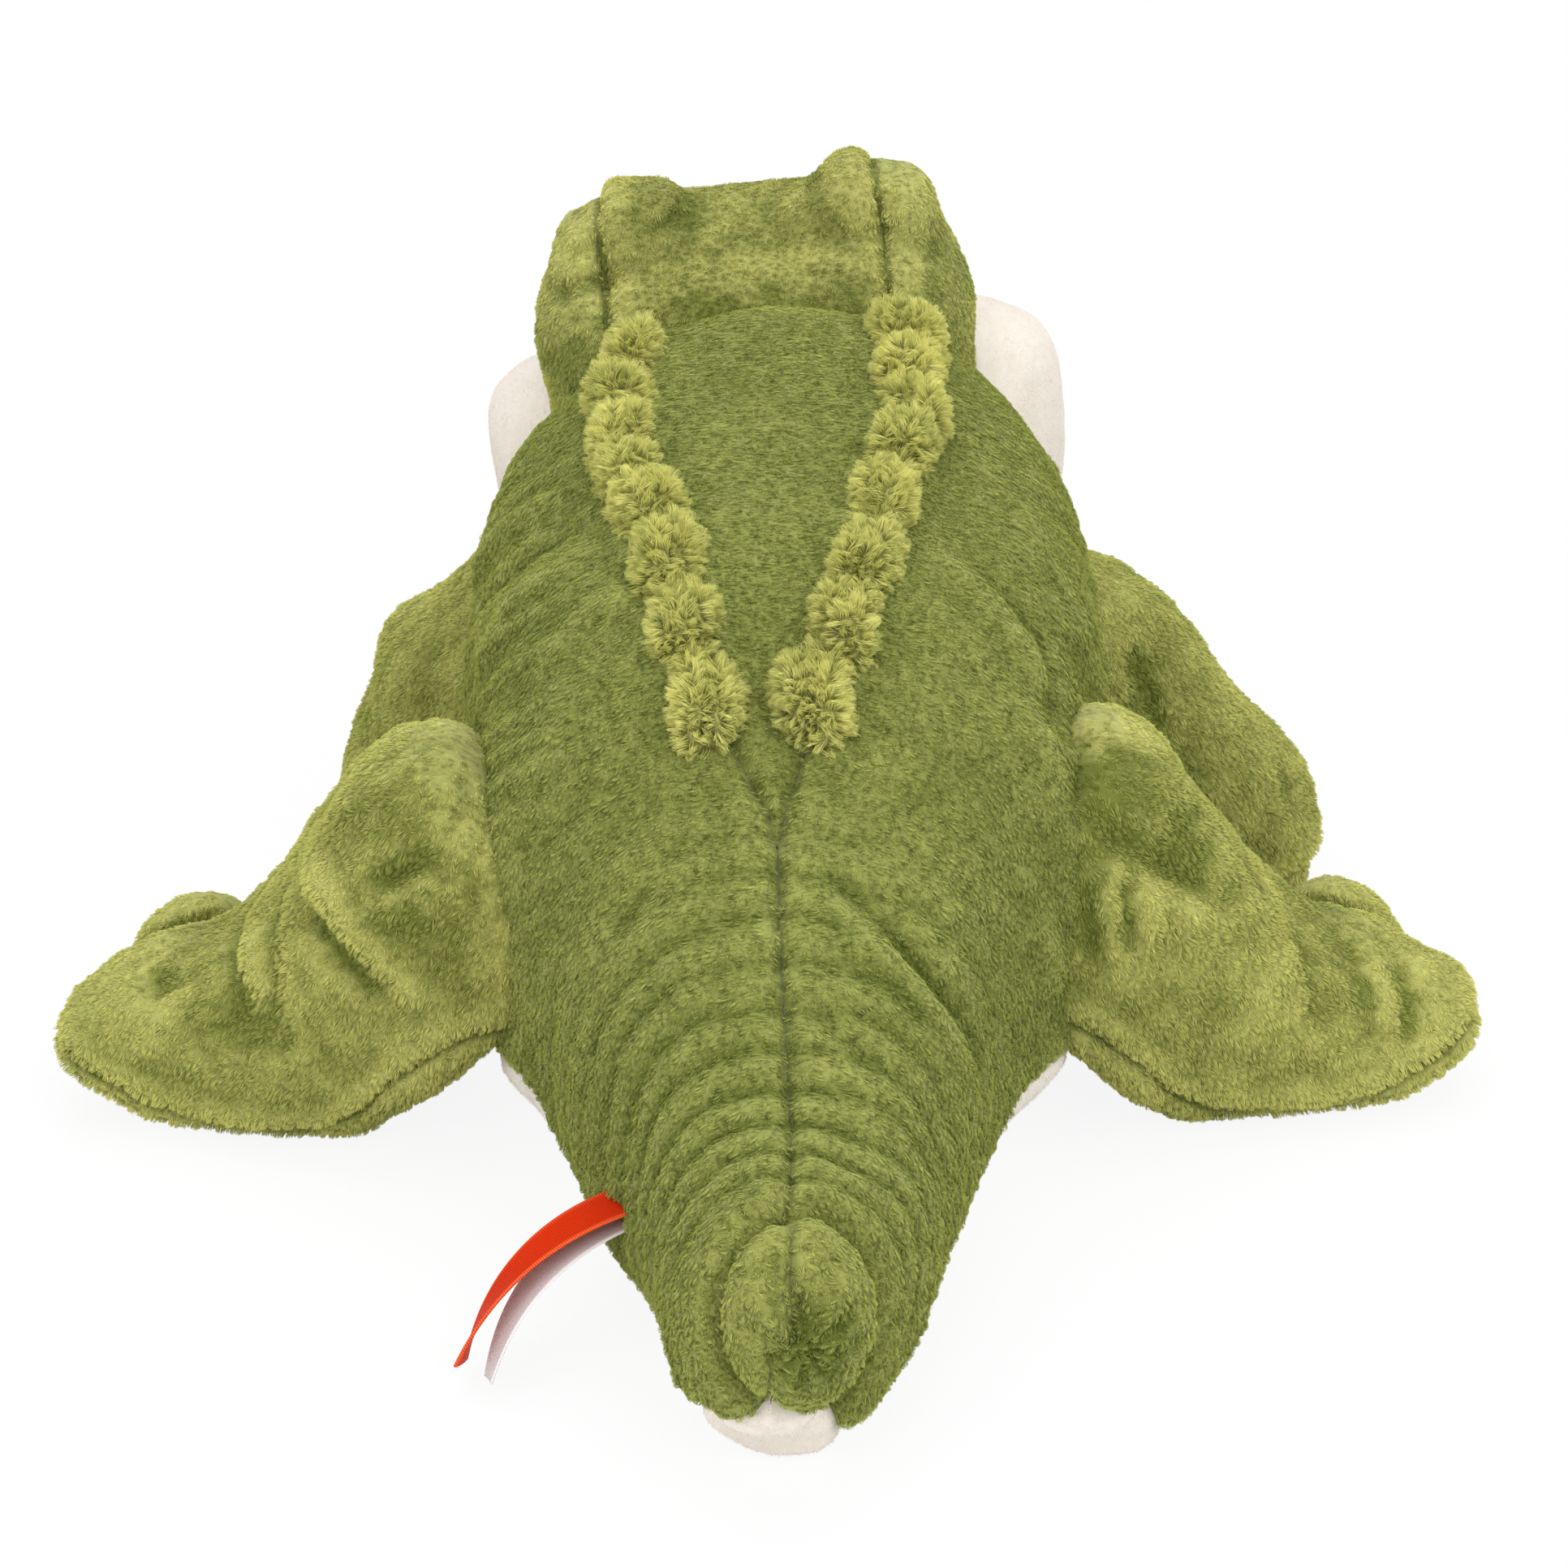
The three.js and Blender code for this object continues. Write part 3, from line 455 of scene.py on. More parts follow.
@dataclass(frozen=True)
class Form:
    """A filled form along +Y, as a table of sections.

    Args:
        stations: rows of along, half width, low, high, shift and squareness, as shares.
        length: along Y.
        width: along X.
        height: along Z.
        section: shares of a square section: its middle's height, and its powers at the side, top and bottom.
    """

    stations: Sequence[Row]
    length: float
    width: float
    height: float
    section: tuple[float, float, float, float]

    def rings(self, shares: Array) -> dict[str, Array]:
        """The sections at places along the table.

        Args:
            shares: places, from 0 to 1.

        Returns:
            Each measure of the sections, by its name.
        """
        scale = (self.length, self.width / 2, self.height, self.height, self.width / 2, 1)
        table = np.array([tuple(row) + (0,) * (len(scale) - len(row)) for row in self.stations])
        along, half, low, high, shift, square = np.moveaxis(curve_through(table * scale, shares), -1, 0)
        squarest = 1.5
        square = np.clip(square, 0, squarest)
        middle, side, top, bottom = self.section
        # A section squarer than 1 tucks its bottom edges in again
        tucked = square - 2 * np.maximum(square - 1, 0)
        return {
            "y": along,
            "half": np.maximum(half, 0.01),
            "shift": shift,
            "low": low,
            "high": high,
            "middle": low + (high - low) * (0.5 + (middle - 0.5) * square),
            "side": 1 + (side - 1) * square,
            "top": 1 + (top - 1) * square,
            "bottom": 1 + (bottom - 1) * tucked,
        }

    def points(self, shares: Array, angles: Array) -> Array:
        """Points of the surface.

        Args:
            shares: places along the table.
            angles: turns around the section, from +X towards +Z.

        Returns:
            Points, with X, Y, Z as the last axis.
        """
        ring = self.rings(shares)
        across, up = np.cos(angles), np.sin(angles)
        x = ring["shift"] + ring["half"] * np.sign(across) * np.abs(across) ** ring["side"]
        rise = (ring["high"] - ring["middle"]) * np.abs(up) ** ring["top"]
        fall = (ring["middle"] - ring["low"]) * np.abs(up) ** ring["bottom"]
        z = ring["middle"] + np.where(up >= 0, rise, -fall) - REST_DEPTH
        return np.stack(np.broadcast_arrays(x, ring["y"], np.maximum(z, 0)), axis=-1)

    def normals(self, shares: Array, angles: Array) -> Array:
        """Outward normals of the surface at the same places as points().

        Args:
            shares: places along the table.
            angles: turns around the section.

        Returns:
            Normals, with X, Y, Z as the last axis.
        """
        step = 1e-3
        ahead, behind = np.minimum(shares + step, 1), np.maximum(shares - step, 0)
        along = self.points(ahead, angles) - self.points(behind, angles)
        around = self.points(shares, angles + step) - self.points(shares, angles - step)
        normal = np.cross(along, around)
        return normal / np.maximum(np.linalg.norm(normal, axis=-1, keepdims=True), 1e-9)

    def even_shares(self, step: float, first: float = 0, last: float = 1) -> Array:
        """Places along the table that lie about one step apart on the surface.

        Args:
            step: the distance in millimetres.
            first: where they start.
            last: where they end.

        Returns:
            The places.
        """
        dense = np.linspace(first, last, 1500)
        lines = [self.points(dense, np.full(len(dense), turn * math.pi / 2)) for turn in range(4)]
        run = np.max([np.linalg.norm(np.diff(line, axis=0), axis=1) for line in lines], axis=0)
        total = np.concatenate([[0], np.cumsum(run)])
        fewest = 4
        count = max(int(total[-1] / step), fewest)
        return np.interp(np.linspace(0, total[-1], count), total, dense)

    def skin(self, step: float, first: float = 0.002, last: float = 0.998) -> Cloth:
        """The closed surface, with faces of about one step.

        Args:
            step: the size of its faces in millimetres.
            first: where on the table it starts.
            last: where it ends.

        Returns:
            The surface.
        """
        shares = self.even_shares(step, first, last)
        sides = int(math.pi * (self.width + self.height) / 2 / step / 2) * 2
        angles = np.linspace(0, 2 * math.pi, sides, endpoint=False)
        grid = self.points(shares[:, None], angles[None, :])
        skin = Cloth.of_grid(grid, ring=True)
        end = len(skin.points) - sides
        skin.faces.append(tuple(range(sides)))
        skin.faces.append(tuple(range(end, end + sides))[::-1])
        return skin

    def depth_below(self, points: Array) -> Array:
        """About how deep each point lies below the surface, negative outside.

        Args:
            points: places in the form's own frame, one a row or more.

        Returns:
            Depths in millimetres.
        """
        dense = np.linspace(0, 1, 800)
        ring = self.rings(np.interp(points[:, 1], self.rings(dense)["y"], dense))
        across = np.abs(points[:, 0] - ring["shift"]) / ring["half"]
        rise = points[:, 2] + REST_DEPTH - ring["middle"]
        tall = np.where(rise >= 0, ring["high"] - ring["middle"], ring["middle"] - ring["low"])
        power = np.where(rise >= 0, ring["top"], ring["bottom"])
        level = across ** (2 / ring["side"]) + (np.abs(rise) / np.maximum(tall, 0.01)) ** (2 / power)
        return (1 - np.sqrt(level)) * np.minimum(ring["half"], tall)


# Finishes


class Value:
    """A shader socket that takes part in arithmetic. Each operation adds a Math node."""

    def __init__(self, graph: "Graph", socket: bpy.types.NodeSocket) -> None:
        """Wraps a socket of a graph."""
        self.graph = graph
        self.socket = socket

    def _math(self, operation: str, *values: "Value | float") -> "Value":
        """The result of one Math node."""
        return self.graph.node("ShaderNodeMath", {"operation": operation}, dict(enumerate(values)))

    def __add__(self, other: "Value | float") -> "Value":
        """Sum."""
        return self._math("ADD", self, other)

    __radd__ = __add__

    def __mul__(self, other: "Value | float") -> "Value":
        """Product."""
        return self._math("MULTIPLY", self, other)

    __rmul__ = __mul__

    def __sub__(self, other: "Value | float") -> "Value":
        """Difference."""
        return self._math("SUBTRACT", self, other)

    def __rsub__(self, other: float) -> "Value":
        """Difference from a number."""
        return self._math("SUBTRACT", other, self)

    def clamped(self, low: float, high: float) -> "Value":
        """The value moved from low and high to 0 and 1, and kept between them."""
        settings = {"interpolation_type": "SMOOTHSTEP"}
        return self.graph.node("ShaderNodeMapRange", settings, {0: self, 1: low, 2: high})


class Graph:
    """The nodes of one material or world."""

    def __init__(self, owner: bpy.types.Material | bpy.types.World) -> None:
        """Clears the nodes of a material or world and starts on them.

        Args:
            owner: the material or world.
        """
        owner.use_nodes = True
        self.owner = owner
        self.tree = owner.node_tree
        self.tree.nodes.clear()

    @staticmethod
    def material(name: str) -> "Graph":
        """A graph in a new material."""
        return Graph(bpy.data.materials.new(name))

    def node(
        self,
        kind: str,
        settings: dict[str, object] | None = None,
        inputs: dict[str | int, object] | None = None,
        output: str | int = 0,
    ) -> Value:
        """Adds one node.

        Args:
            kind: the node's type.
            settings: its settings, set first, such as a Math node's operation.
            inputs: values or links of its sockets, by name or number.
            output: the socket that is wanted.

        Returns:
            That socket.
        """
        made = self.tree.nodes.new(kind)
        for key, value in (settings or {}).items():
            setattr(made, key, value)
        for key, value in (inputs or {}).items():
            if isinstance(value, Value):
                self.tree.links.new(value.socket, made.inputs[key])
            else:
                made.inputs[key].default_value = value
        return Value(self, made.outputs[output])

    def attribute(self, name: str) -> Value:
        """A value that a piece's mesh carries, by its name."""
        return self.node("ShaderNodeAttribute", {"attribute_name": name}, output="Fac")

    def place(self, scale: Sequence[float] = (1, 1, 1)) -> Value:
        """Places on the piece, in metres, stretched by a scale."""
        own = self.node("ShaderNodeTexCoord", output="Object")
        return self.node("ShaderNodeMapping", {}, {"Vector": own, "Scale": scale})

    def noise(self, size: float, detail: float = 2, stretch: Sequence[float] = (1, 1, 1)) -> Value:
        """Noise between 0 and 1.

        Args:
            size: the size of its grains in millimetres.
            detail: its octaves.
            stretch: how much longer the grains are along each axis.

        Returns:
            The noise.
        """
        scale = tuple(1 / axis for axis in stretch)
        inputs = {"Vector": self.place(scale), "Scale": 1 / (size * MM), "Detail": detail}
        return self.node("ShaderNodeTexNoise", {}, inputs)

    def mix(self, share: "Value | float", low: object, high: object) -> Value:
        """Mixes two colours.

        Args:
            share: how much of the second.
            low: the first colour.
            high: the second colour.

        Returns:
            The colour.
        """
        factor, first, second, color = 0, 6, 7, 2
        inputs = {factor: share, first: low, second: high}
        return self.node("ShaderNodeMix", {"data_type": "RGBA"}, inputs, color)

    def bump(self, height: Value, depth: float, strength: float = 1) -> Value:
        """The normal of a surface with a height on it, depth millimetres deep."""
        inputs = {"Height": height, "Distance": depth * MM, "Strength": strength}
        return self.node("ShaderNodeBump", {}, inputs)

    def surface(self, inputs: dict[str | int, object]) -> None:
        """Ends a material in one Principled shader."""
        self.end(self.node("ShaderNodeBsdfPrincipled", {}, inputs))

    def end(self, shader: Value) -> None:
        """Links a shader to the output.

        Args:
            shader: the shader.
        """
        world = isinstance(self.owner, bpy.types.World)
        out = self.tree.nodes.new("ShaderNodeOutputWorld" if world else "ShaderNodeOutputMaterial")
        self.tree.links.new(shader.socket, out.inputs["Surface"])


def scaled(color: tuple[int, int, int], gain: float = 1) -> tuple[float, ...]:
    """A shader colour from a screen colour of 0 to 255, made brighter or darker.

    Args:
        color: the screen colour.
        gain: how much brighter, below 1 for darker.

    Returns:
        Red, green, blue and alpha.
    """
    brightest = 0.95
    shares = [level / 255 for level in color]
    shares = [s / 12.92 if s <= 0.04045 else ((s + 0.055) / 1.055) ** 2.4 for s in shares]
    return (*[min(gain * s, brightest) for s in shares], 1)


@dataclass(frozen=True)
class Brush:
    """A soft spot, paler or darker: partly where the pile lies another way, partly painted light and painted
    shade.

    Args:
        place: its middle in millimetres.
        reach: its half size along each axis.
        paler: how much paler it is, negative for darker.
    """

    place: Place
    reach: Place
    paler: float


@dataclass(frozen=True)
class Pile:
    """A plush finish: short dense fibre on knitted cloth.

    Args:
        name: the finish.
        slot: the record's material slot.
        shade: its colour where the fibre lies down.
        light: its colour where the fibre stands up.
        nap: how much longer its streaks are along each axis.
        depth: how deep its tufts look, in millimetres.
        length: the fibre's length in millimetres.
        density: tufts a square millimetre.
        sheen: how much light its fibre ends catch.
        lean: the way that the fibre leans.
        children: fibres a tuft.
        thickness: a fibre's thickness in millimetres.
        clump: how closely the fibres of a tuft keep together.
        upright: how much of the fibre's length stands off the cloth.
        lift: how much brighter the fibre is than the cloth, as it shades itself.
        groove: how bright the painted shade in a seam's groove is.
        gaps: how dark the painted shade is between the tufts and at the fibre's roots.
        uneven: how blotchy its colour is.
        relief: how much paler ridges are painted, as a highlight, and how much darker creases are, as
            painted shade.
        brushes: spots that are paler or darker, partly where the pile lies another way and partly painted
            light and shade.
    """

    name: str
    slot: str
    shade: tuple[int, int, int]
    light: tuple[int, int, int]
    nap: Place = (1, 2.2, 1)
    depth: float = 0.5
    length: float = 2.0
    density: float = 0.7
    sheen: float = 0.4
    lean: Place = (0, -0.5, -0.2)
    children: int = 16
    thickness: float = 0.1
    clump: float = 0.35
    upright: float = 0.5
    lift: float = 1.6
    groove: float = 0.25
    gaps: float = 0.45
    uneven: float = 1
    relief: float = 0.14
    brushes: tuple[Brush, ...] = ()

    def color(self, graph: Graph, tufts: Value, gain: float = 1) -> Value:
        """The colour of the pile: paler where it stands up, with the painted highlights and painted shade
        that each point carries.

        Args:
            graph: the material's nodes.
            tufts: fine noise between 0 and 1.
            gain: how much brighter than the finish's own colours.

        Returns:
            The colour.
        """
        patch, streak, middle = 17, 4.5, 0.375
        patches = graph.noise(patch, 2)
        streaks = graph.noise(streak, 2, self.nap)
        # Painted highlights and painted shade from the piece's mesh, partly nap
        brushed = graph.attribute("brushed")
        standing = 0.3 * tufts + self.uneven * (0.3 * streaks + 0.45 * patches - middle) + middle
        standing = standing + brushed - 0.5
        lying, upright = 0.24, 0.8
        share = standing.clamped(lying, upright)
        return graph.mix(share, scaled(self.shade, gain), scaled(self.light, gain))

    def brushed(self, cloth: Cloth) -> Array:
        """How pale the pile is at each point: a painted highlight on ridges, painted shade in creases, and
        spots that are partly nap and partly painted light and shade.

        Args:
            cloth: the piece's outside.

        Returns:
            Shares around 0.5.
        """
        points = cloth.points
        full_bend, relaxing = 0.35, 10
        # Painted highlight on ridges and painted shade in creases, by how far the cloth bends
        bend = ((points - cloth.relaxed(relaxing).points) * cloth.normals()).sum(axis=1)
        level = 0.5 + self.relief * np.clip(bend / full_bend, -1.2, 1)
        ragged = 0.5 * Grain(7, 90).at(points) + 0.35 * Grain(2.6, 91).at(points)
        # Spots that are partly the pile lying another way and partly painted light and shade
        for nap_shade_spot in self.brushes:
            far = np.linalg.norm((points - np.array(nap_shade_spot.place)) / np.array(nap_shade_spot.reach), axis=1)
            level += nap_shade_spot.paler * (1 - smooth_step(far + ragged, 0.3, 1.3))
        return np.clip(level, 0, 1)

    def cloth(self) -> bpy.types.Material:
        """The material of the cloth itself.

        Returns:
            The material.
        """
        graph = Graph.material(f"{self.name}_cloth")
        tuft, fibre = 1.1, 0.5
        tufts = graph.noise(tuft, 3, self.nap)
        # Painted shade between the tufts
        gap = self.gaps * (1 - tufts.clamped(0.3, 0.5))
        color = graph.mix(gap, self.color(graph, tufts), scaled(self.shade, 0.5))
        # Painted shade in the seams' grooves
        seam = graph.attribute("seam")
        height = 0.6 * tufts + 0.4 * graph.noise(fibre, 2, self.nap)
        glow = tuple(0.4 + 0.6 * c for c in scaled(self.light)[:3]) + (1,)
        graph.surface(
            {
                "Base Color": graph.mix(0.45 * seam, color, scaled(self.shade, self.groove)),
                "Roughness": 0.95,
                "Specular IOR Level": 0.15,
                "Sheen Weight": self.sheen,
                "Sheen Roughness": 0.5,
                "Sheen Tint": glow,
                "Normal": graph.bump(height, self.depth),
            }
        )
        return graph.owner

    def fibre(self) -> bpy.types.Material:
        """The material of the fibre: darker at the root as painted shade, paler at the tip as a painted
        highlight.

        Returns:
            The material.
        """
        graph = Graph.material(f"{self.name}_fibre")
        color = self.color(graph, graph.node("ShaderNodeHairInfo", output="Random"), self.lift)
        along = graph.node("ShaderNodeHairInfo", output="Intercept")
        # Painted highlight at the fibre's tip
        tip = graph.mix(0.3 * along, color, scaled(self.light, 1.2 * self.lift))
        # Painted shade at the fibre's root
        root = self.gaps * (1 - along.clamped(0, 0.6))
        whole = graph.mix(root, tip, scaled(self.shade, 0.6 * self.lift))
        graph.surface({"Base Color": whole, "Roughness": 0.8, "Specular IOR Level": 0.2})
        return graph.owner

    def grow(self, made: bpy.types.Object, area: float) -> None:
        """Plants the fibre on a piece, on its group named pile.

        Args:
            made: the piece.
            area: its pile side in square millimetres.
        """
        made.data.materials.append(self.fibre())
        made.modifiers.new("fibre", "PARTICLE_SYSTEM")
        system = made.particle_systems[-1]
        system.vertex_group_density = "pile"
        system.seed = len(self.name)
        hair = system.settings
        hair.type = "HAIR"
        hair.count = int(area * self.density)
        hair.hair_step = 3
        hair.use_advanced_hair = True
        # A fibre comes out four times as long as the speed that grows it
        reach = self.length * MM / 4
        hair.normal_factor = reach * self.upright
        hair.object_align_factor = tuple(reach * c for c in self.lean)
        hair.factor_random = reach * 0.3
        hair.child_type = "INTERPOLATED"
        hair.rendered_child_count = self.children
        hair.child_percent = 1
        hair.clump_factor = self.clump
        stray = self.length * MM * 0.12
        hair.roughness_1 = stray
        hair.roughness_1_size = 2 * MM
        hair.roughness_endpoint = stray
        hair.root_radius = 1
        hair.tip_radius = 0.35
        hair.radius_scale = self.thickness * MM
        hair.use_hair_bspline = False
        hair.render_step = 2
        hair.material = 2


BODY_PILE = Pile(
    "body_pile", "green_pile", (100, 110, 44), (152, 156, 84), length=1, density=0.85, lean=(0, -0.3, -0.15),
    clump=0.7, thickness=0.08, children=17, uneven=0.5, relief=0.18, gaps=0.7,
    brushes=(
        # The knob at the tail's end is painted paler, partly nap and partly painted light; its gathered
        # middle is darker, as painted shade
        Brush((5, -146, 32), (15, 12, 18), 0.24),
        Brush((6.5, -150, 30), (6.5, 7, 10), -0.5),
        Brush((-52, 15, 75), (14, 45, 14), 0.16),
        Brush((-44, -42, 42), (10, 30, 24), 0.2),
        Brush((-8, 45, 110), (12, 14, 10), -0.06),
        Brush((8, 58, 111), (12, 4, 8), 0.12),
    ),
)  # fmt: skip
SIDE_PILE = Pile(
    "head_side_pile", "green_pile", (106, 115, 48), (178, 177, 104), length=1.1, lean=(0, -0.2, -0.4),
    clump=0.5, groove=0.45,
    brushes=(
        Brush((-37, 75, 119), (8, 14, 7), 0.2),
        Brush((-36, 70, 100), (12, 20, 9), -0.18),
        Brush((34, 74, 108), (10, 16, 12), -0.14),
    ),
)  # fmt: skip
CROWN_PILE = Pile(
    "crown_pile", "light_green_pile", (112, 120, 52), (180, 178, 106), length=1.1, lean=(0, -0.3, -0.1),
    clump=0.5, groove=0.45,
    brushes=(
        Brush((-20, 78, 124), (9, 12, 5), -0.16),
        Brush((0, 72, 116), (22, 4, 4), 0.12),
        # Painted shade along the crown's lower edge by the neck
        Brush((2, 59, 110), (30, 8, 8), -0.4),
    ),
)  # fmt: skip
CREST_PILE = Pile(
    "crest_pile", "crest_pile", (108, 117, 48), (192, 188, 114), nap=(1, 1, 2), length=2.6, depth=0.8,
    density=1.2, lean=(0, 0, 0.1), upright=0.95, clump=0.75, thickness=0.11, gaps=0.6,
)  # fmt: skip
CREAM_PILE = Pile(
    "cream_pile", "cream_pile", (230, 221, 209), (238, 230, 221), depth=0.12, length=0.4, density=0.3,
    lean=(0, -0.2, -0.3), lift=1.02, sheen=0.2, clump=0, thickness=0.08, groove=0.45, gaps=0.04,
)  # fmt: skip
LEG_NAP_AND_SHADE_SPOTS = {
    Side.LEFT: (
        Brush((-58, -55, 60), (12, 14, 13), -0.24),
        # Painted shade where the leg meets the body
        Brush((-50, -60, 43), (6, 12, 12), -0.14),
        Brush((-86, -51, 25), (10, 8, 5), -0.3),
        Brush((-100, -41, 29), (4, 5, 4), -0.2),
        Brush((-47, -54, 68), (3, 8, 9), -0.16),
        Brush((-70, -52, 49), (4, 8, 10), 0.14),
        Brush((-75, 54, 30), (6, 10, 14), -0.16),
    ),
    Side.RIGHT: (
        Brush((70, -44, 52), (9, 10, 7), -0.3),
        Brush((56, -45, 64), (8, 8, 5), -0.16),
        Brush((107, -37, 24), (3, 8, 8), -0.24),
        Brush((97, -40, 24), (5, 6, 5), -0.1),
        Brush((64, -32, 68), (11, 8, 4), 0.1),
        Brush((61, -43, 59), (12, 12, 11), -0.26),
        Brush((68, 27, 52), (4, 8, 10), -0.3),
        Brush((92, -20, 32), (9, 8, 5), -0.14),
        Brush((82, -44, 30), (12, 9, 10), 0.08),
        # Painted shade where the leg meets the body
        Brush((50, -48, 58), (7, 14, 20), -0.2),
    ),
}
LEG_PILES = {
    side: Pile(
        f"leg_pile_{side.word}", "light_green_pile", (106, 114, 46), (174, 173, 100), nap=(1.6, 1, 1.4),
        length=1.2, relief=0.2, lean=(0.3 * side.value, -0.15, -0.4), clump=0.5, brushes=LEG_NAP_AND_SHADE_SPOTS[side],
    )
    for side in Side
}  # fmt: skip


# Pieces of the toy


def piece(name: str, cloth: Cloth, material: bpy.types.Material, slot: str) -> bpy.types.Object:
    """Makes a Blender object of a surface.

    Args:
        name: its name.
        cloth: its surface in millimetres.
        material: its finish.
        slot: the record's material slot; not used.

    Returns:
        The object, with smooth faces.
    """
    mesh = cloth.mesh(name, MM)
    mesh.materials.append(material)
    mesh.polygons.foreach_set("use_smooth", np.ones(len(mesh.polygons), bool))
    made = bpy.data.objects.new(name, mesh)
    bpy.context.collection.objects.link(made)
    log.info("%s: %d faces", name, len(mesh.polygons))
    return made


def mark(made: bpy.types.Object, name: str, values: Array) -> None:
    """Gives each point of a piece a value for its material, under a name."""
    attribute = made.data.attributes.new(name, "FLOAT", "POINT")
    attribute.data.foreach_set("value", values.astype(np.float32))


def plush(
    name: str, cloth: Cloth, pile: Pile, nodes: Sequence[str], seam: Array, bare: Array
) -> bpy.types.Object:
    """Makes a stuffed piece of a sheet of cloth, thickened and dressed.

    Args:
        name: its name.
        cloth: its outside in millimetres.
        pile: its finish.
        nodes: the CAD nodes that it stands for.
        seam: each point's distance to its nearest seam in millimetres.
        bare: how deep each point lies inside another piece, where no fibre grows.

    Returns:
        The object.
    """
    made = piece(name, cloth.thick(), pile.cloth(), pile.slot)
    corners = np.empty(len(made.data.loops), int)
    made.data.loops.foreach_get("vertex_index", corners)
    # Painted highlight and shade, with the nap's spots, that the pile's colour reads
    brushed = np.tile(pile.brushed(cloth), 2)[corners]
    layer = made.data.color_attributes.new("brushed", "BYTE_COLOR", "CORNER")
    layer.data.foreach_set("color", np.repeat(brushed, 4).astype(np.float32))
    # The seam values carry the painted shade of the seams' grooves
    seam_width = 0.8
    mark(made, "seam", np.tile(dip(seam, seam_width), 2))
    # The fibre thins out at the seams, the floor and where another piece covers the cloth
    steps = 8
    weight = (0.6 + 0.4 * smooth_step(seam, 0.3, 1.6)) * (1 - smooth_step(bare, 0.5, 1.5))
    level = np.round(steps * weight * smooth_step(cloth.points[:, 2], 0.3, 1.2)).astype(int)
    outside = made.vertex_groups.new(name="pile")
    for step in range(1, steps + 1):
        outside.add(np.flatnonzero(level == step).tolist(), step / steps, "REPLACE")
    area = sum(face.area for face in made.data.polygons[: len(cloth.faces)]) / MM**2
    pile.grow(made, area * level.mean() / steps)
    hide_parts(*nodes)
    return made


def sewn(distance: Array, depth: float = 1.6) -> Array:
    """The relief of a seam: a groove with puffed cloth beside it.

    Args:
        distance: each place's distance to the seam in millimetres.
        depth: the groove's depth.

    Returns:
        Heights in millimetres.
    """
    groove, puff_away, puff = 1.4, 4.5, 2.6
    return -depth * dip(distance, groove) + 0.35 * depth * dip(distance - puff_away, puff)


TRUNK_FOLDS = (
    Fold(((-59, 43, 66), (-47, 24, 80), (-36, 12, 92)), 4, 1.5),
    Fold(((-49, -5, 66), (-41, -9, 81), (-26, -14, 93)), 4, 1.5),
    Fold(((-37, -33, 76), (-27, -29, 88), (-20, -31, 92)), 3.5, 1.2),
    Fold(((-55, 28, 63), (-42, 3, 84), (-30, -2, 92)), 3, -1.4),
    Fold(((26, -19, 95), (37, -28, 85), (46, -37, 76)), 3.5, 1.3),
    Fold(((38, -40, 78), (42, -45, 72), (47, -52, 64)), 3.5, 1.3),
    Fold(((48, 1, 85), (54, -6, 71)), 3, 1.1),
    Fold(((33, -17, 92), (44, -24, 80), (49, -42, 73)), 3, -1.4),
    Fold(((-25, -82, 58), (-16, -80, 66)), 3, -1.2),
    Fold(((-14, -98, 55), (-8, -96, 60), (-1, -93, 62)), 3.5, 0.9),
    Fold(((10, -82, 67), (20, -88, 59), (26, -90, 53), (33, -85, 36)), 2.6, -1.8),
    Fold(((8, -86, 66), (19, -92, 58), (24, -94, 51), (30, -93, 37)), 2.8, 1.2),
    Fold(((5, -103, 57), (13, -106, 53), (17, -109, 48)), 2.4, -1),
    Fold(((42, -58, 52), (44, -59, 34)), 3, 1),
)
HEAD_FOLDS = (
    Fold(((-31, 77, 120), (-39, 75, 115)), 2.4, -2),
    Fold(((-27, 72, 115), (-41, 77, 107)), 2.6, -2),
    Fold(((-37, 75, 119), (-30, 76, 124)), 3, 1.2),
    Fold(((-23, 73, 120), (-11, 84, 125)), 2.6, -1.6),
    Fold(((-43, 55, 97), (-43, 95, 97)), 9, 1.6),
    Fold(((-39, 55, 119), (-39, 95, 119)), 7, -2.4),
    Fold(((38, 55, 106), (38, 95, 110)), 9, 2.4),
)
HIND_LEFT_FOLDS = (
    Fold(((-75, -40, 51), (-70, -53, 49), (-64, -58, 41), (-53, -62, 33)), 3.6, 1.8),
    Fold(((-74, -50, 46), (-69, -56, 42), (-59, -61, 34)), 3, -2.8),
    Fold(((-64, -56, 52), (-59, -57, 55), (-53, -59, 59), (-47, -59, 63)), 2.6, -2.4),
    Fold(((-91, -28, 37), (-88, -37, 34), (-86, -48, 30), (-85, -52, 24)), 2.6, -1.2),
    Fold(((-85, -39, 37), (-83, -50, 31)), 2.4, 0.9),
    Fold(((-82, -36, 43), (-81, -44, 40), (-80, -53, 33), (-80, -57, 24)), 2.6, -1.1),
    Fold(((-103, -36, 30), (-98, -44, 27)), 3.6, -1.4),
    Fold(((-93, -48, 25), (-79, -55, 24)), 6, -1.2),
    Fold(((-50, -50, 72), (-48, -57, 66), (-47, -60, 60)), 3, -1.5),
    Fold(((-52, -48, 72), (-52, -57, 63)), 3, 1),
)
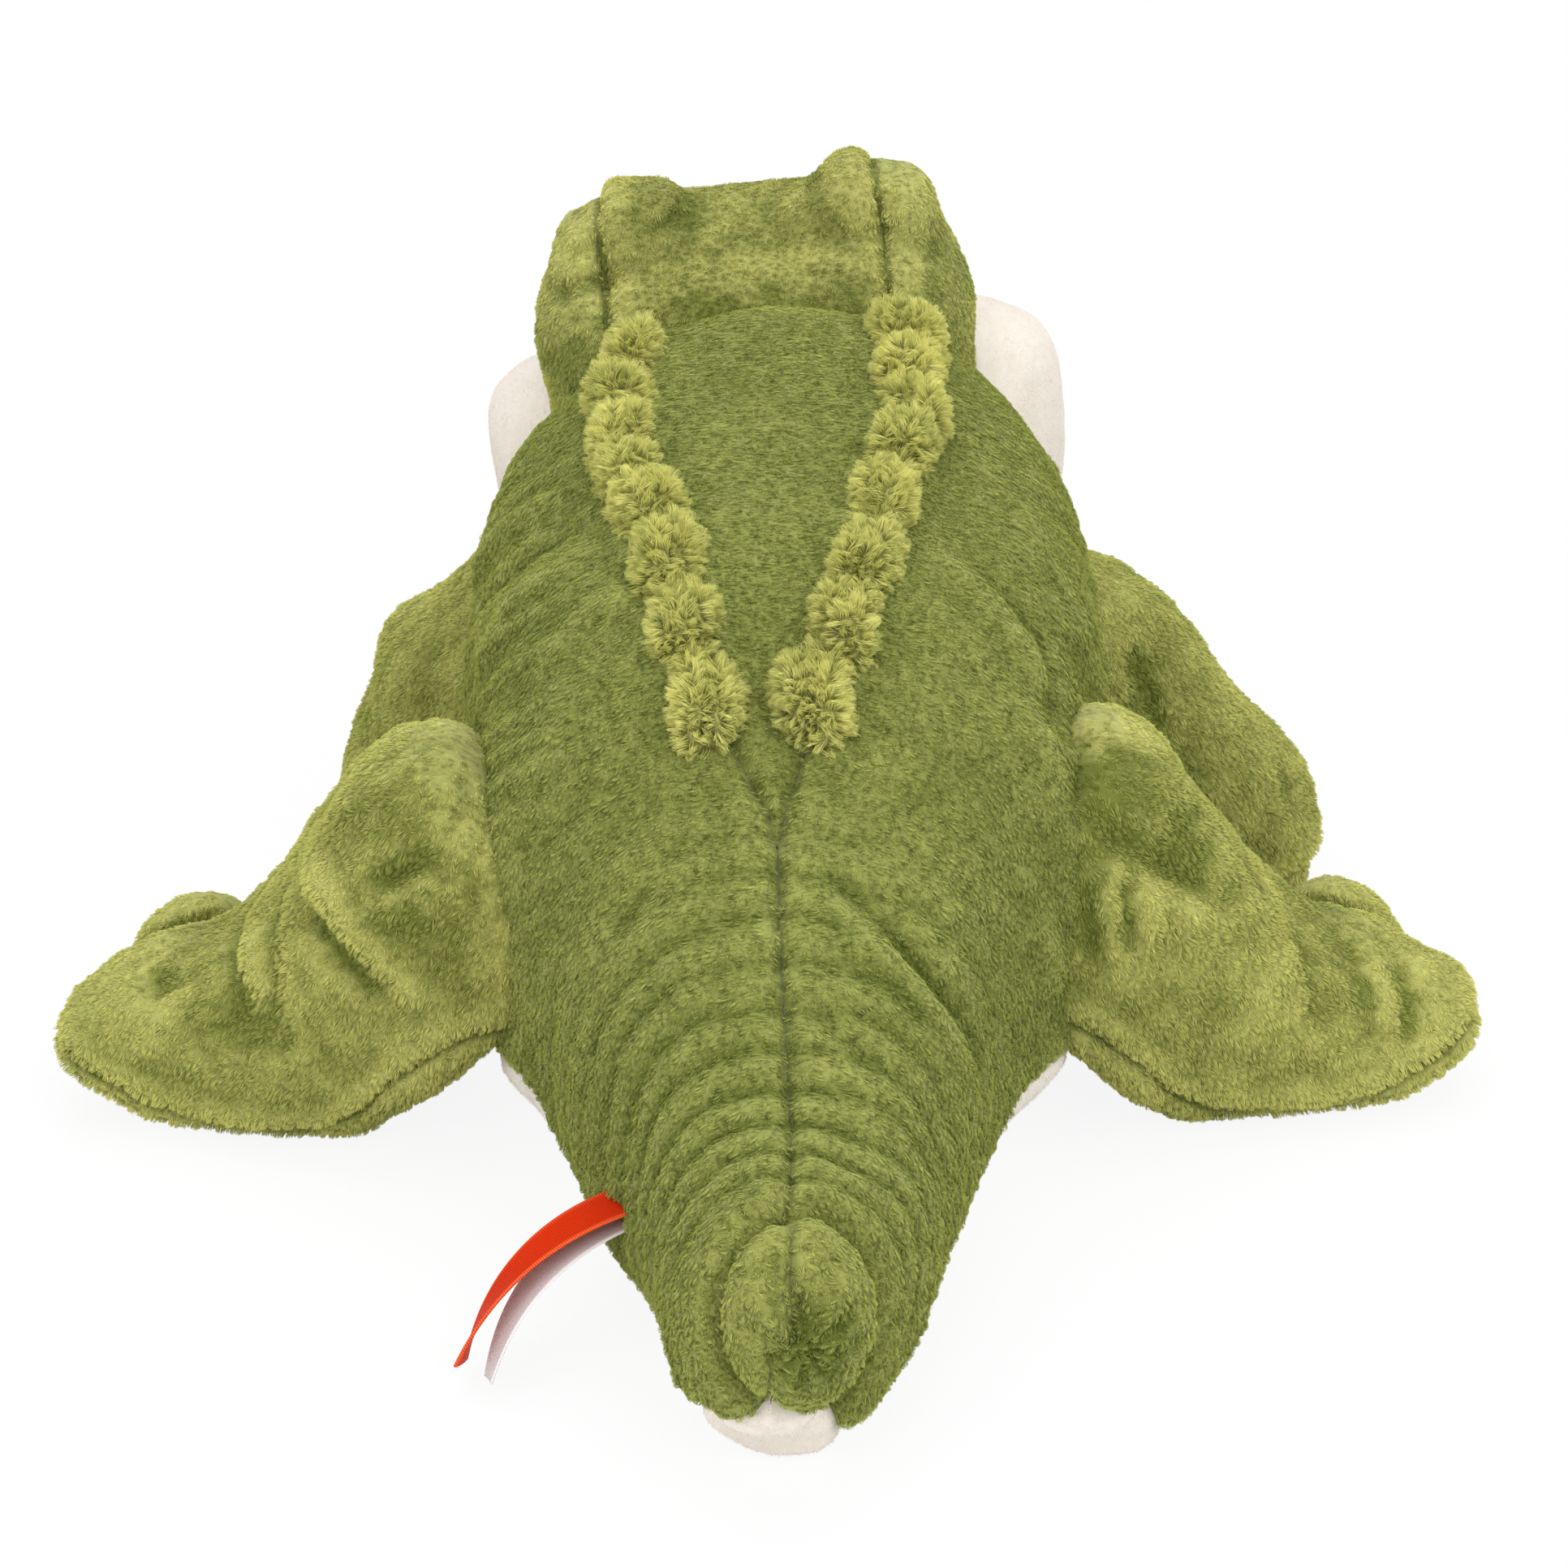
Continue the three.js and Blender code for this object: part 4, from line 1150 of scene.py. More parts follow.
HIND_RIGHT_FOLDS = (
    Fold(((50, -52, 62), (61, -51, 55), (72, -45, 46)), 3, -2.4),
    Fold(((102, -22, 33), (106, -31, 29), (107, -38, 23), (105, -44, 12)), 3.6, -1.4),
    Fold(((103, -36, 28), (103, -42, 18)), 3, 0.9),
    Fold(((95, -24, 35), (99, -36, 28), (100, -43, 19), (98, -47, 12)), 3.2, -1.1),
    Fold(((87, -30, 37), (91, -41, 28), (92, -47, 18)), 3.6, -1),
    Fold(((54, -55, 52), (55, -57, 38)), 3, 1.1),
    Fold(((57, -54, 53), (58, -56, 39)), 2.4, -1.4),
    Fold(((60, -53, 51), (61, -54, 41)), 2.6, 1.1),
    Fold(((51, -55, 53), (52, -57, 37)), 2.6, -1.2),
    Fold(((64, -46, 59), (74, -41, 48)), 7, -1.4),
)
FRONT_RIGHT_FOLDS = (
    Fold(((65, 27, 59), (70, 26, 49), (75, 27, 38)), 3.5, -2.4),
    Fold(((95, 45, 30), (97, 37, 21)), 2.5, -1.2),
)
FRONT_LEFT_FOLDS = (
    Fold(((-78, 52, 44), (-74, 52, 26)), 3, -1.6),
    Fold(((-68, 50, 52), (-66, 50, 34)), 3, -1.2),
)


@dataclass
class Trunk:
    """Body and tail: two side panels, the back gusset and the belly panel, sewn together.

    Args:
        length: from the tail's tip to the shoulders.
        width: its greatest width.
        height: its greatest height.
        tip: the Y of the tail's tip.
        neck_radius: how far its round front reaches past the shoulders.
        cap_width: the round front's width, as a share.
        cap_shift: how far the round front lies to the right, as a share.
        seam: the X of the seam on top of the tail.
        gusset_tip: the Y where the back gusset ends in a point.
        belly_tip: the Y where the belly panel ends in a point.
        step: the size of its faces.
        front: the Y where its cloth ends inside the head.
        bare_front: the Y from which no fibre grows.
        knob: the middle of the round knob at the tail's end.
        knob_radius: the knob's radius.
        knob_pitch: how far the knob looks up, in degrees.
        knob_squeeze: how much narrower than high the knob is.
        tail_blend: the Y where the tail would start to bend, and where it would follow fully; not used.
        ring_rate: how close the rings around the knob lie.
        ring_height: the rings' height.
        ring_start: how far from the knob's middle the first ring rises.
        ring_sink: where the rings get lower.
        ring_end: where the rings fade out.
        groove: how deep its seams lie.
        fold_gain: how many times higher its folds are than their list says.
        pile_sink: how far the cloth lies below the tips of the pile.
    """

    length: float = 200
    width: float = 126
    height: float = 112.5
    tip: float = -150
    neck_radius: float = 56
    cap_width: float = 0.9
    cap_shift: float = 0.04
    seam: float = 1.68
    gusset_tip: float = -71.9
    belly_tip: float = -146
    step: float = 1
    front: float = 102
    bare_front: float = 86
    knob: Place = (5, -140.5, 30.4)
    knob_radius: float = 14.2
    knob_pitch: float = 34
    knob_squeeze: float = 1.2
    tail_blend: tuple[float, float] = (-57, -83)
    ring_rate: float = 2.05
    ring_height: float = 1.1
    ring_start: tuple[float, float] = (15, 20)
    ring_sink: tuple[float, float] = (40, 90)
    ring_end: tuple[float, float] = (90, 130)
    groove: float = 1.1
    fold_gain: float = 1.3
    pile_sink: float = 0.7

    def __post_init__(self) -> None:
        """Builds the form from its table and its round front."""
        stations = [
            (0, 0, 0.28, 0.28, 0.045, 0),
            (0.01, 0.11, 0.2, 0.36, 0.04, 0),
            (0.0325, 0.2, 0.112, 0.4, 0.035, 0),
            (0.06, 0.24, 0.072, 0.415, 0.03, 0),
            (0.0826, 0.262, 0.015, 0.42, 0.04, 0),
            (0.11, 0.285, 0, 0.425, 0.047, 0),
            (0.1549, 0.325, 0, 0.44, 0.06, 0.2),
            (0.2202, 0.375, 0, 0.49, 0.054, 0.7),
            (0.2995, 0.475, 0, 0.565, 0.033, 1),
            (0.4, 0.585, 0, 0.665, 0.03, 1.2),
            (0.45, 0.67, 0, 0.715, 0.035, 1.4),
            (0.5094, 0.78, 0, 0.77, 0.04, 1.4),
            (0.64, 0.825, 0, 0.865, 0.045, 1.2),
            (0.775, 0.87, 0, 0.92, 0.055, 0.9),
            (0.8998, 0.91, 0, 0.965, 0.05, 0.5),
            (1, 0.9, 0, 1, 0.04, 0),
        ]
        for share in (0.22, 0.44, 0.66, 0.84, 1):
            angle = share * math.pi / 2
            level = math.cos(angle) / 2
            along = 1 + self.neck_radius / self.length * math.sin(angle)
            stations.append((along, 2 * level * self.cap_width, 0.5 - level, 0.5 + level, self.cap_shift, 0))
        section = (0.42, 0.8, 0.8, 0.66)
        self.form = Form(stations, self.length, self.width, self.height, section)

    def depth_below(self, points: Array) -> Array:
        """About how deep points in the toy's frame lie below the trunk's skin."""
        return self.form.depth_below(points - np.array([0, self.tip, 0]))

    def seam_angle(self, ring: dict[str, Array], x: Array, upper: bool) -> Array:
        """Where on each section a seam lies.

        Args:
            ring: the sections.
            x: the seam's place across each section.
            upper: whether it lies on the back.

        Returns:
            Angles from +X towards +Z.
        """
        farthest = 0.97
        across = np.clip((x - ring["shift"]) / ring["half"], -farthest, farthest)
        angle = np.arccos(np.sign(across) * np.abs(across) ** (1 / ring["side"]))
        return angle if upper else -angle

    def seams(self, shares: Array) -> dict[str, Array]:
        """The angles of the four seams at places along the trunk.

        Args:
            shares: places along the trunk's table.

        Returns:
            A row of angles for each seam, by its name.
        """
        ring = self.form.rings(shares)
        y = ring["y"] + self.tip
        half = self.width / 2
        gusset = np.array(
            [
                (0, 0.057, 0.057),
                (0.12, 0.06, 0.06),
                (0.2, 0.05, 0.05),
                (0.28, 0.035, 0.035),
                (0.3596, 0.0267, 0.0267),
                (0.3904, 0.005, 0.045),
                (0.4365, -0.07, 0.09),
                (0.4762, -0.135, 0.11),
                (0.5542, -0.201, 0.19),
                (0.6285, -0.247, 0.257),
                (0.7027, -0.307, 0.3),
                (0.7718, -0.365, 0.35),
                (0.8346, -0.392, 0.385),
                (0.9254, -0.405, 0.39),
                (1.0048, -0.38, 0.385),
                (1.0598, -0.36, 0.385),
                (1.3056, -0.33, 0.37),
            ]
        )
        belly = np.array(
            [
                (0.02, 0.013, 0.013),
                (0.035, -0.07, 0.095),
                (0.05, -0.15, 0.15),
                (0.0975, -0.16, 0.19),
                (0.1536, -0.16, 0.22),
                (0.256, -0.23, 0.3),
                (0.3584, -0.39, 0.44),
                (0.43, -0.58, 0.67),
                (0.48, -0.75, 0.83),
                (0.5504, -0.85, 0.93),
                (0.64, -0.82, 0.9),
                (0.7424, -0.72, 0.82),
                (0.9472, -0.7, 0.78),
                (1.0752, -0.57, 0.61),
                (1.3056, -0.1, 0.14),
            ]
        )
        tables = {"gusset": gusset, "belly": belly}
        found = {}
        for (name, table), (column, side) in product(tables.items(), ((1, Side.LEFT), (2, Side.RIGHT))):
            x = np.interp(y, table[:, 0] * self.length + self.tip, table[:, column] * half)
            found[f"{name}_{side.word}"] = self.seam_angle(ring, x, name == "gusset")
        return found

    def rings(self, points: Array) -> Array:
        """The rings of gathered cloth around the knob, which fade out towards the body and the floor.

        Args:
            points: places in the toy's frame.

        Returns:
            Heights in millimetres.
        """
        reach = np.linalg.norm(points - np.array(self.knob), axis=-1)
        warp = 2.4 * Grain(26, 1).at(points) + 0.6 * Grain(9, 2).at(points)
        mean = 0.64
        height = np.abs(np.sin(math.pi * self.ring_rate * np.sqrt(np.maximum(reach + warp, 1)))) - mean
        lower = 1 - 0.7 * smooth_step(reach, *self.ring_sink)
        height *= smooth_step(reach, *self.ring_start) * lower * (1 - smooth_step(reach, *self.ring_end))
        uneven = 0.55 + 0.45 * smooth_step(Grain(30, 3).at(points), -0.5, 0.6)
        height *= smooth_step(points[..., 2], 2, 16) * uneven
        return self.ring_height * height

    def slack(self, points: Array) -> Array:
        """The slanting folds of loose cloth on both flanks.

        Args:
            points: places in the toy's frame.

        Returns:
            Heights in millimetres.
        """
        x, y, z = np.moveaxis(points, -1, 0)
        slant = points + np.stack([0 * y, 0.9 * z, 0 * z], axis=-1)
        height = 1 - 2 * np.abs(Grain(13, 7, (6, 1, 6)).at(slant))
        flank = smooth_step(np.abs(x - self.seam), 26, 50)
        height *= flank * smooth_step(z, 8, 26) * smooth_step(y, -100, -60)
        return height

    def knob_relief(self, points: Array) -> tuple[Array, Array]:
        """The knob: a dome inside a round crease, with a gathered slit in its middle.

        Args:
            points: places in the toy's frame.

        Returns:
            Heights in millimetres, and whether each place is on the knob.
        """
        offset = points - np.array(self.knob)
        pitch = math.radians(self.knob_pitch)
        axis = np.array([0, -math.cos(pitch), math.sin(pitch)])
        outward = offset @ axis
        flat = offset - outward[..., None] * axis
        flat[..., 0] *= self.knob_squeeze
        radius = np.linalg.norm(flat, axis=-1)
        facing = smooth_step(outward, -18, -12)
        crease_depth, crease_width, crease_out = 3.6, 1.7, 0.6
        crease = -crease_depth * dip(radius - self.knob_radius - crease_out, crease_width)
        dome_height, dome_power = 1.6, 6
        dome = dome_height * np.clip(1 - (radius / self.knob_radius) ** dome_power, 0, 1)
        slit_depth, slit_width = 2.6, 4
        from_slit = np.hypot(1.7 * flat[..., 0], 0.8 * (radius - np.abs(flat[..., 0])))
        slit = -slit_depth * dip(from_slit, slit_width)
        puckers, pucker_height, pucker_radius, pucker_width = 9, 0.7, 6, 3
        wave = np.cos(puckers * np.arctan2(offset[..., 0], offset[..., 2]))
        gather = pucker_height * wave * dip(radius - pucker_radius, pucker_width)
        height = (crease + dome + slit + gather) * facing
        return height, facing * (radius < self.knob_radius) > 0.5

    def relief(self, points: Array, seam: Array) -> Array:
        """How far the pile side stands out of the plain form.

        Args:
            points: places on the form in the toy's frame.
            seam: each place's distance to the nearest seam.

        Returns:
            Heights in millimetres, negative inward.
        """
        lumps = 0.8 * Grain(28, 4).at(points) + 0.4 * Grain(10, 5, (1, 1.8, 1)).at(points)
        fine = 0.2 * Grain(3.2, 6, (1, 1.6, 1)).at(points)
        raised = self.rings(points) + lumps + self.slack(points) + fine
        raised = raised + self.fold_gain * folded(points, TRUNK_FOLDS) - self.pile_sink
        knob, on_knob = self.knob_relief(points)
        shallow = np.where(on_knob, 0.6, 1)
        off_floor = smooth_step(points[..., 2], 0, 5)
        return off_floor * raised + shallow * sewn(seam, self.groove) + knob

    def panel(self, first: str, last: str, shares: Array, columns: int) -> tuple[Cloth, Array]:
        """The sculpted cloth between two seams.

        Args:
            first: the seam where its columns start.
            last: the seam where they end, anticlockwise from behind.
            shares: its rings.
            columns: its columns.

        Returns:
            The cloth, its outside out, and each point's distance to a seam.
        """
        seams = self.seams(shares)
        start, end = seams[first], seams[last]
        end = np.where(end < start, end + 2 * math.pi, end)
        even = np.linspace(0, 1, columns)
        dense = np.linspace(0, 1, 240)
        angles = np.empty((len(shares), columns))
        edge = np.empty_like(angles)
        for row, share in enumerate(shares):
            turns = start[row] + (end[row] - start[row]) * dense
            line = self.form.points(np.full(len(dense), share), turns)
            run = np.concatenate([[0], np.cumsum(np.linalg.norm(np.diff(line, axis=0), axis=1))])
            angles[row] = np.interp(even * run[-1], run, turns)
            edge[row] = np.minimum(even, 1 - even) * run[-1]
        points = self.form.points(shares[:, None], angles)
        normals = self.form.normals(shares[:, None], angles)
        points[..., 1] += self.tip
        points = points + self.relief(points, edge)[..., None] * normals
        points[..., 2] = np.maximum(points[..., 2], 0)
        return Cloth.of_grid(points), edge.ravel()

    def build(self) -> None:
        """Makes the four panels and bakes their placement into their meshes."""
        dense = np.linspace(0, 1, 2000)
        y = self.form.rings(dense)["y"] + self.tip

        def share_at(place: float) -> float:
            """The place along the table at a Y."""
            return float(np.interp(place, y, dense))

        first_share, past_gusset, past_belly = 0.004, 5, 2
        front = share_at(self.front)
        whole = self.form.even_shares(self.step, first_share, front)
        back = self.form.even_shares(self.step, share_at(self.gusset_tip - past_gusset), front)
        under = self.form.even_shares(self.step, share_at(self.belly_tip - past_belly), front)
        left = ("body_side_panel_left", "tail_side_panel_left")
        right = ("body_side_panel_right", "tail_side_panel_right")
        inside = ("back_gusset", "body_filling", "tail_filling")
        below = ("belly_panel", "tail_underside_panel")
        panels = (
            ("side_left", "gusset_left", "belly_left", whole, 110, BODY_PILE, left),
            ("side_right", "belly_right", "gusset_right", whole, 110, BODY_PILE, right),
            ("back", "gusset_right", "gusset_left", back, 44, BODY_PILE, inside),
            ("belly", "belly_left", "belly_right", under, 64, CREAM_PILE, below),
        )
        for name, first, last, shares, columns, pile, nodes in panels:
            cloth, seam = self.panel(first, last, shares, columns)
            bare = cloth.points[:, 1] - self.bare_front
            self.bend(plush(f"trunk_{name}", cloth, pile, nodes, seam, bare))

    def bend(self, made: bpy.types.Object) -> None:
        """Bakes a piece's placement into its mesh; the hip's bend points are worked out but not used."""
        start, end = (tuple(MM * c for c in (self.seam, y, self.knob[2])) for y in self.tail_blend)
        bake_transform(made)
        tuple(start)
        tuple(end)


@dataclass
class Crest:
    """The two rows of long fuzzy lobes along the back's seams.

    Args:
        trunk: the trunk that it is sewn to.
        height: a lobe's height over the trunk.
        width: a lobe's width.
        length: a lobe's length.
        sink: how deep a lobe's middle lies in the trunk.
        left: rows of a lobe's place along the trunk and across it, and its size, as shares.
        right: the same for the right row.
        boxy: how boxy a lobe is, less for boxier.
        sway: how far a lobe may be turned, in radians.
        neck: the whole width and height between two lobes, as multiples of width and height.
        groove: how deep the stitches pull its middle line in.
        buried: how deep the cloth goes on inside the trunk.
        voxel: the size of its faces.
    """

    trunk: Trunk
    height: float = 6.6
    width: float = 8
    length: float = 16.5
    sink: float = 1.5
    left: Sequence[Row] = (
        (0.99, -0.38, 0.9),
        (0.9139, -0.41, 0.98),
        (0.8397, -0.395, 0.94),
        (0.7718, -0.368, 0.9),
        (0.7027, -0.307, 1.06),
        (0.6285, -0.247, 1.05),
        (0.5542, -0.201, 1),
        (0.4762, -0.14, 1),
    )
    right: Sequence[Row] = (
        (0.995, 0.385, 1.2),
        (0.9267, 0.385, 1.1),
        (0.8627, 0.397, 0.94),
        (0.7949, 0.359, 0.95),
        (0.7059, 0.3, 0.9),
        (0.6195, 0.254, 0.93),
        (0.5485, 0.187, 0.78),
        (0.4768, 0.104, 1.06),
    )
    boxy: float = 0.85
    sway: float = 0.35
    neck: tuple[float, float] = (0.55, 1.3)
    groove: float = 1.6
    buried: float = 3
    voxel: float = 0.75

    def top(self, x: float, y: float) -> float:
        """The height of the trunk's top at a place.

        Args:
            x: how far to the right it is.
            y: how far ahead.

        Returns:
            Its Z in millimetres.
        """
        form = self.trunk.form
        dense = np.linspace(0, 1, 800)
        share = np.interp(y - self.trunk.tip, form.rings(dense)["y"], dense)
        margin = 0.05
        turns = np.linspace(margin, math.pi - margin, 400)
        line = form.points(np.full(len(turns), share), turns)
        return float(np.interp(x, line[::-1, 0], line[::-1, 2]))

    def row(self, centers: Array, shares: Sequence[float], side: Side) -> Cloth:
        """The skin around the lobes of one row and the narrow necks between them.

        Args:
            centers: the lobes' X and Y, from the front.
            shares: the lobes' sizes.
            side: the row's side.

        Returns:
            The skin, closed.
        """
        lobes = []
        turns = np.random.default_rng(9 + side.value).uniform(-self.sway, self.sway, len(centers))
        for (x, y), share, turn in zip(centers, shares, turns, strict=True):
            size = (share * self.width, self.length, 2 * self.height * max(share, 1))
            place = Matrix.Translation((x, y, self.top(x, y) - self.sink))
            lobes.append(ball((0, 0, 0), size, self.boxy).placed(place @ Matrix.Rotation(turn, 4, "Z")))
        narrow, low = self.neck
        for x, y in (centers[1:] + centers[:-1]) / 2:
            size = (narrow * self.width, self.length, low * self.height)
            lobes.append(ball((x, y, self.top(x, y) - self.sink), size))
        return fused(lobes, self.voxel, 2)

    @staticmethod
    def from_line(skin: Cloth, centers: Array) -> Array:
        """How far each point of a row lies to the right of the line through its lobes."""
        return skin.points[:, 0] - np.interp(skin.points[:, 1], centers[::-1, 1], centers[::-1, 0])

    def build(self) -> None:
        """Makes one piece a row."""
        trunk = self.trunk
        for side, rows in ((Side.LEFT, self.left), (Side.RIGHT, self.right)):
            centers = np.array([(c * trunk.width / 2, trunk.tip + a * trunk.length) for a, c, _ in rows])
            skin = self.row(centers, [share for _, _, share in rows], side)
            stitched = self.groove * dip(self.from_line(skin, centers), 1.1)
            relief = 0.5 * Grain(2.2, 20 + side.value).at(skin.points) - stitched
            skin.points += relief[:, None] * skin.normals()
            skin = skin.part(trunk.depth_below(skin.centers()) < self.buried)
            seam, bare = np.abs(self.from_line(skin, centers)), trunk.depth_below(skin.points)
            nodes = (f"crest_row_{side.word}",)
            trunk.bend(plush(f"crest_{side.word}", skin, CREST_PILE, nodes, seam, bare))


@dataclass
class Head:
    """The upper head with its eye bumps, and the cream jaw with its cheeks.

    Args:
        trunk: the trunk that it is sewn to.
        nose: the Y of the snout's end.
        rear: the upper head's length, from the snout to inside the trunk.
        width: the upper head's width.
        height: the height of the crown.
        shift: how far the head lies to the right.
        roll: how far it leans to the left, in degrees.
        roll_height: the height that it leans about.
        crown_half: half the crown panel's width.
        crown_base: the height where the crown panel ends on the snout.
        jaw_length: the jaw's length.
        jaw_start: the Y where the jaw starts.
        jaw_width: the jaw's width over both cheeks.
        jaw_height: the height that the jaw's sections are shares of.
        bump_y: the Y of the eye bumps.
        bump_power: how boxy the eye bumps are.
        lobes: a side's bumps: each one's X, depth under the crown, width, length and height over its middle.
        nostril: a nostril bump's X, distance behind the snout's end, and height.
        nostril_size: its size.
        blend: the Y where the neck would start to bend, and where it would follow fully; not used.
        groove: how deep its seams lie.
        voxel: the size of its faces.
        pile_sink: how far the cloth lies below the tips of the pile.
        buried: how deep the cloth goes on inside the trunk.
    """

    trunk: Trunk
    nose: float = 150
    rear: float = 93
    width: float = 80.5
    height: float = 129
    shift: float = 0.5
    roll: float = 7.5
    roll_height: float = 74.82
    crown_half: float = 26.5
    crown_base: float = 78
    jaw_length: float = 81
    jaw_start: float = 68
    jaw_width: float = 115
    jaw_height: float = 98
    bump_y: float = 86.48
    bump_power: float = 0.72
    nostril: Place = (9.5, 10, 83)
    nostril_size: Place = (12, 13, 12)
    lobes: dict[Side, Sequence[Row]] = field(
        default_factory=lambda: {
            Side.LEFT: ((19.5, 11, 23, 27, 12.8), (29.5, 13, 15.5, 25, 10.6)),
            Side.RIGHT: ((22, 11.3, 17, 27, 12.8), (17, 12.3, 30, 25, 10), (29.5, 13, 15.5, 25, 10.6)),
        }
    )
    blend: tuple[float, float] = (61, 84)
    groove: float = 1.7
    voxel: float = 1.3
    pile_sink: float = 0.7
    buried: float = 6

    def __post_init__(self) -> None:
        """Builds both forms from their tables."""
        upper = (
            (0, 0, 0.72, 0.72),
            (0.04, 0.56, 0.6, 0.815, 0, 0.4),
            (0.1, 0.84, 0.5, 0.882, 0, 0.8),
            (0.18, 0.955, 0.455, 0.925, 0, 1),
            (0.28, 1, 0.435, 0.97, 0, 1),
            (0.37, 1.01, 0.43, 0.985, 0, 1),
            (0.46, 0.975, 0.43, 0.955, 0, 1),
            (0.55, 0.88, 0.43, 0.86, 0, 0.9),
            (0.65, 0.775, 0.435, 0.775, 0, 0.8),
            (0.77, 0.715, 0.445, 0.725, 0, 0.8),
            (0.88, 0.67, 0.455, 0.7, 0, 0.7),
            (0.95, 0.56, 0.475, 0.67, 0, 0.6),
            (0.985, 0.36, 0.52, 0.63, 0, 0.3),
            (1, 0, 0.575, 0.575),
        )
        lower = (
            (0, 0, 0.6, 0.6),
            (0.07, 0.5, 0.46, 0.79, 0, 0.2),
            (0.17, 0.76, 0.37, 0.9, 0, 0.7),
            (0.3, 0.92, 0.31, 0.97, 0, 1),
            (0.44, 0.99, 0.285, 1, 0, 1),
            (0.56, 1, 0.285, 0.99, 0, 1),
            (0.69, 0.93, 0.3, 0.93, 0, 1),
            (0.81, 0.78, 0.33, 0.82, 0, 0.8),
            (0.91, 0.6, 0.38, 0.7, 0, 0.5),
            (0.975, 0.38, 0.44, 0.62, 0, 0.2),
            (1, 0, 0.53, 0.53),
        )
        boxy, full = (0.48, 0.52, 0.52, 0.8), (0.64, 0.68, 0.58, 0.75)
        self.upper = Form(upper, self.rear, self.width, self.height, boxy)
        self.lower = Form(lower, self.jaw_length, self.jaw_width, self.jaw_height, full)
        lift = Matrix.Translation((self.shift, 0, self.roll_height))
        turn = Matrix.Rotation(math.radians(-self.roll), 4, "Y")
        self.rolled = lift @ turn @ Matrix.Translation((0, 0, -self.roll_height))

    def bumps(self) -> list[Cloth]:
        """The eye bumps, each of two or three lobes, and the nostril bumps.

        Returns:
            The closed lobes.
        """
        made = []
        x, behind, level = self.nostril
        for side in Side:
            for offset, sink, width, length, rise in self.lobes[side]:
                center = (side.value * offset, self.bump_y, self.height - sink)
                made.append(ball(center, (width, length, 2 * rise), self.bump_power))
            made.append(ball((side.value * x, self.nose - behind, level), self.nostril_size))
        return made

    def bend(self, made: bpy.types.Object) -> None:
        """Bakes a piece's placement into its mesh; the neck's bend points are worked out but not used."""
        start, end = (tuple(MM * c for c in (0, y, self.trunk.neck_radius)) for y in self.blend)
        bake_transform(made)
        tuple(start)
        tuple(end)

    def seam(self, points: Array) -> Array:
        """The distance of each place on the upright head to its nearest seam.

        Args:
            points: places on the head before it leans, one a row.

        Returns:
            Distances in millimetres.
        """
        x, _, z = points.T
        beside = np.hypot(np.abs(x) - self.crown_half, np.maximum(self.crown_base - z, 0))
        under = np.hypot(z - self.crown_base, np.maximum(np.abs(x) - self.crown_half, 0))
        front = np.hypot(x, np.maximum(z - self.crown_base, 0))
        return np.minimum(np.minimum(beside, under), front)

    def sculpted(self, skin: Cloth, seed: int, relief: Array | float = 0) -> Cloth:
        """The skin with soft lumps, a pile-like surface and its own relief.

        Args:
            skin: the upright skin.
            seed: the seed of its lumps.
            relief: further heights, one a point.

        Returns:
            The sculpted skin.
        """
        lumps = 0.9 * Grain(20, seed).at(skin.points) + 0.25 * Grain(4, seed + 1).at(skin.points)
        lumps = lumps + relief
        lumps += folded(skin.placed(self.rolled).points, HEAD_FOLDS) - self.pile_sink
        return Cloth(skin.points + lumps[:, None] * skin.normals(), skin.faces)

    def build(self) -> None:
        """Makes the crown, the two sides and the jaw."""
        head_seed, jaw_seed = 31, 41
        coarse, fine = 1.8, 1.4
        ahead = Matrix.Translation((0, self.nose - self.rear, 0))
        skin = fused([self.upper.skin(coarse).placed(ahead), *self.bumps()], self.voxel, 2)
        skin = self.sculpted(skin, head_seed, sewn(self.seam(skin.points), self.groove))
        for side in Side:
            skin = skin.cut((side.value * self.crown_half, 0, 0), (1, 0, 0))
        skin = skin.cut((0, 0, self.crown_base), (0, 0, 1)).cut((0, 0, 0), (1, 0, 0))
        x, _, z = skin.centers().T
        crown = (np.abs(x) < self.crown_half) & (z > self.crown_base)
        whole = skin.placed(self.rolled)
        outside = self.trunk.depth_below(whole.centers()) < self.buried
        parts = (
            ("head_crown", crown, CROWN_PILE, ("crown_panel", "head_filling")),
            ("head_side_left", ~crown & (x < 0), SIDE_PILE, ("head_side_panel_left",)),
            ("head_side_right", ~crown & (x >= 0), SIDE_PILE, ("head_side_panel_right",)),
        )
        for name, keep, pile, nodes in parts:
            part = skin.part(keep & outside)
            placed = part.placed(self.rolled)
            bare = self.trunk.depth_below(placed.points)
            self.bend(plush(name, placed, pile, nodes, self.seam(part.points), bare))
        jaw = self.lower.skin(fine).placed(Matrix.Translation((0, self.jaw_start, 0)))
        jaw = self.sculpted(jaw, jaw_seed)
        jaw = jaw.part(self.trunk.depth_below(jaw.placed(self.rolled).centers()) < self.buried)
        placed = jaw.placed(self.rolled)
        under = self.upper.depth_below(jaw.points - np.array([0, self.nose - self.rear, 0]))
        bare = np.maximum(under, self.trunk.depth_below(placed.points))
        self.bend(plush("jaw", placed, CREAM_PILE, ("jaw_and_cheeks_panel",), np.abs(under), bare))
        self.tree = BVHTree.FromPolygons(whole.points.tolist(), whole.faces)


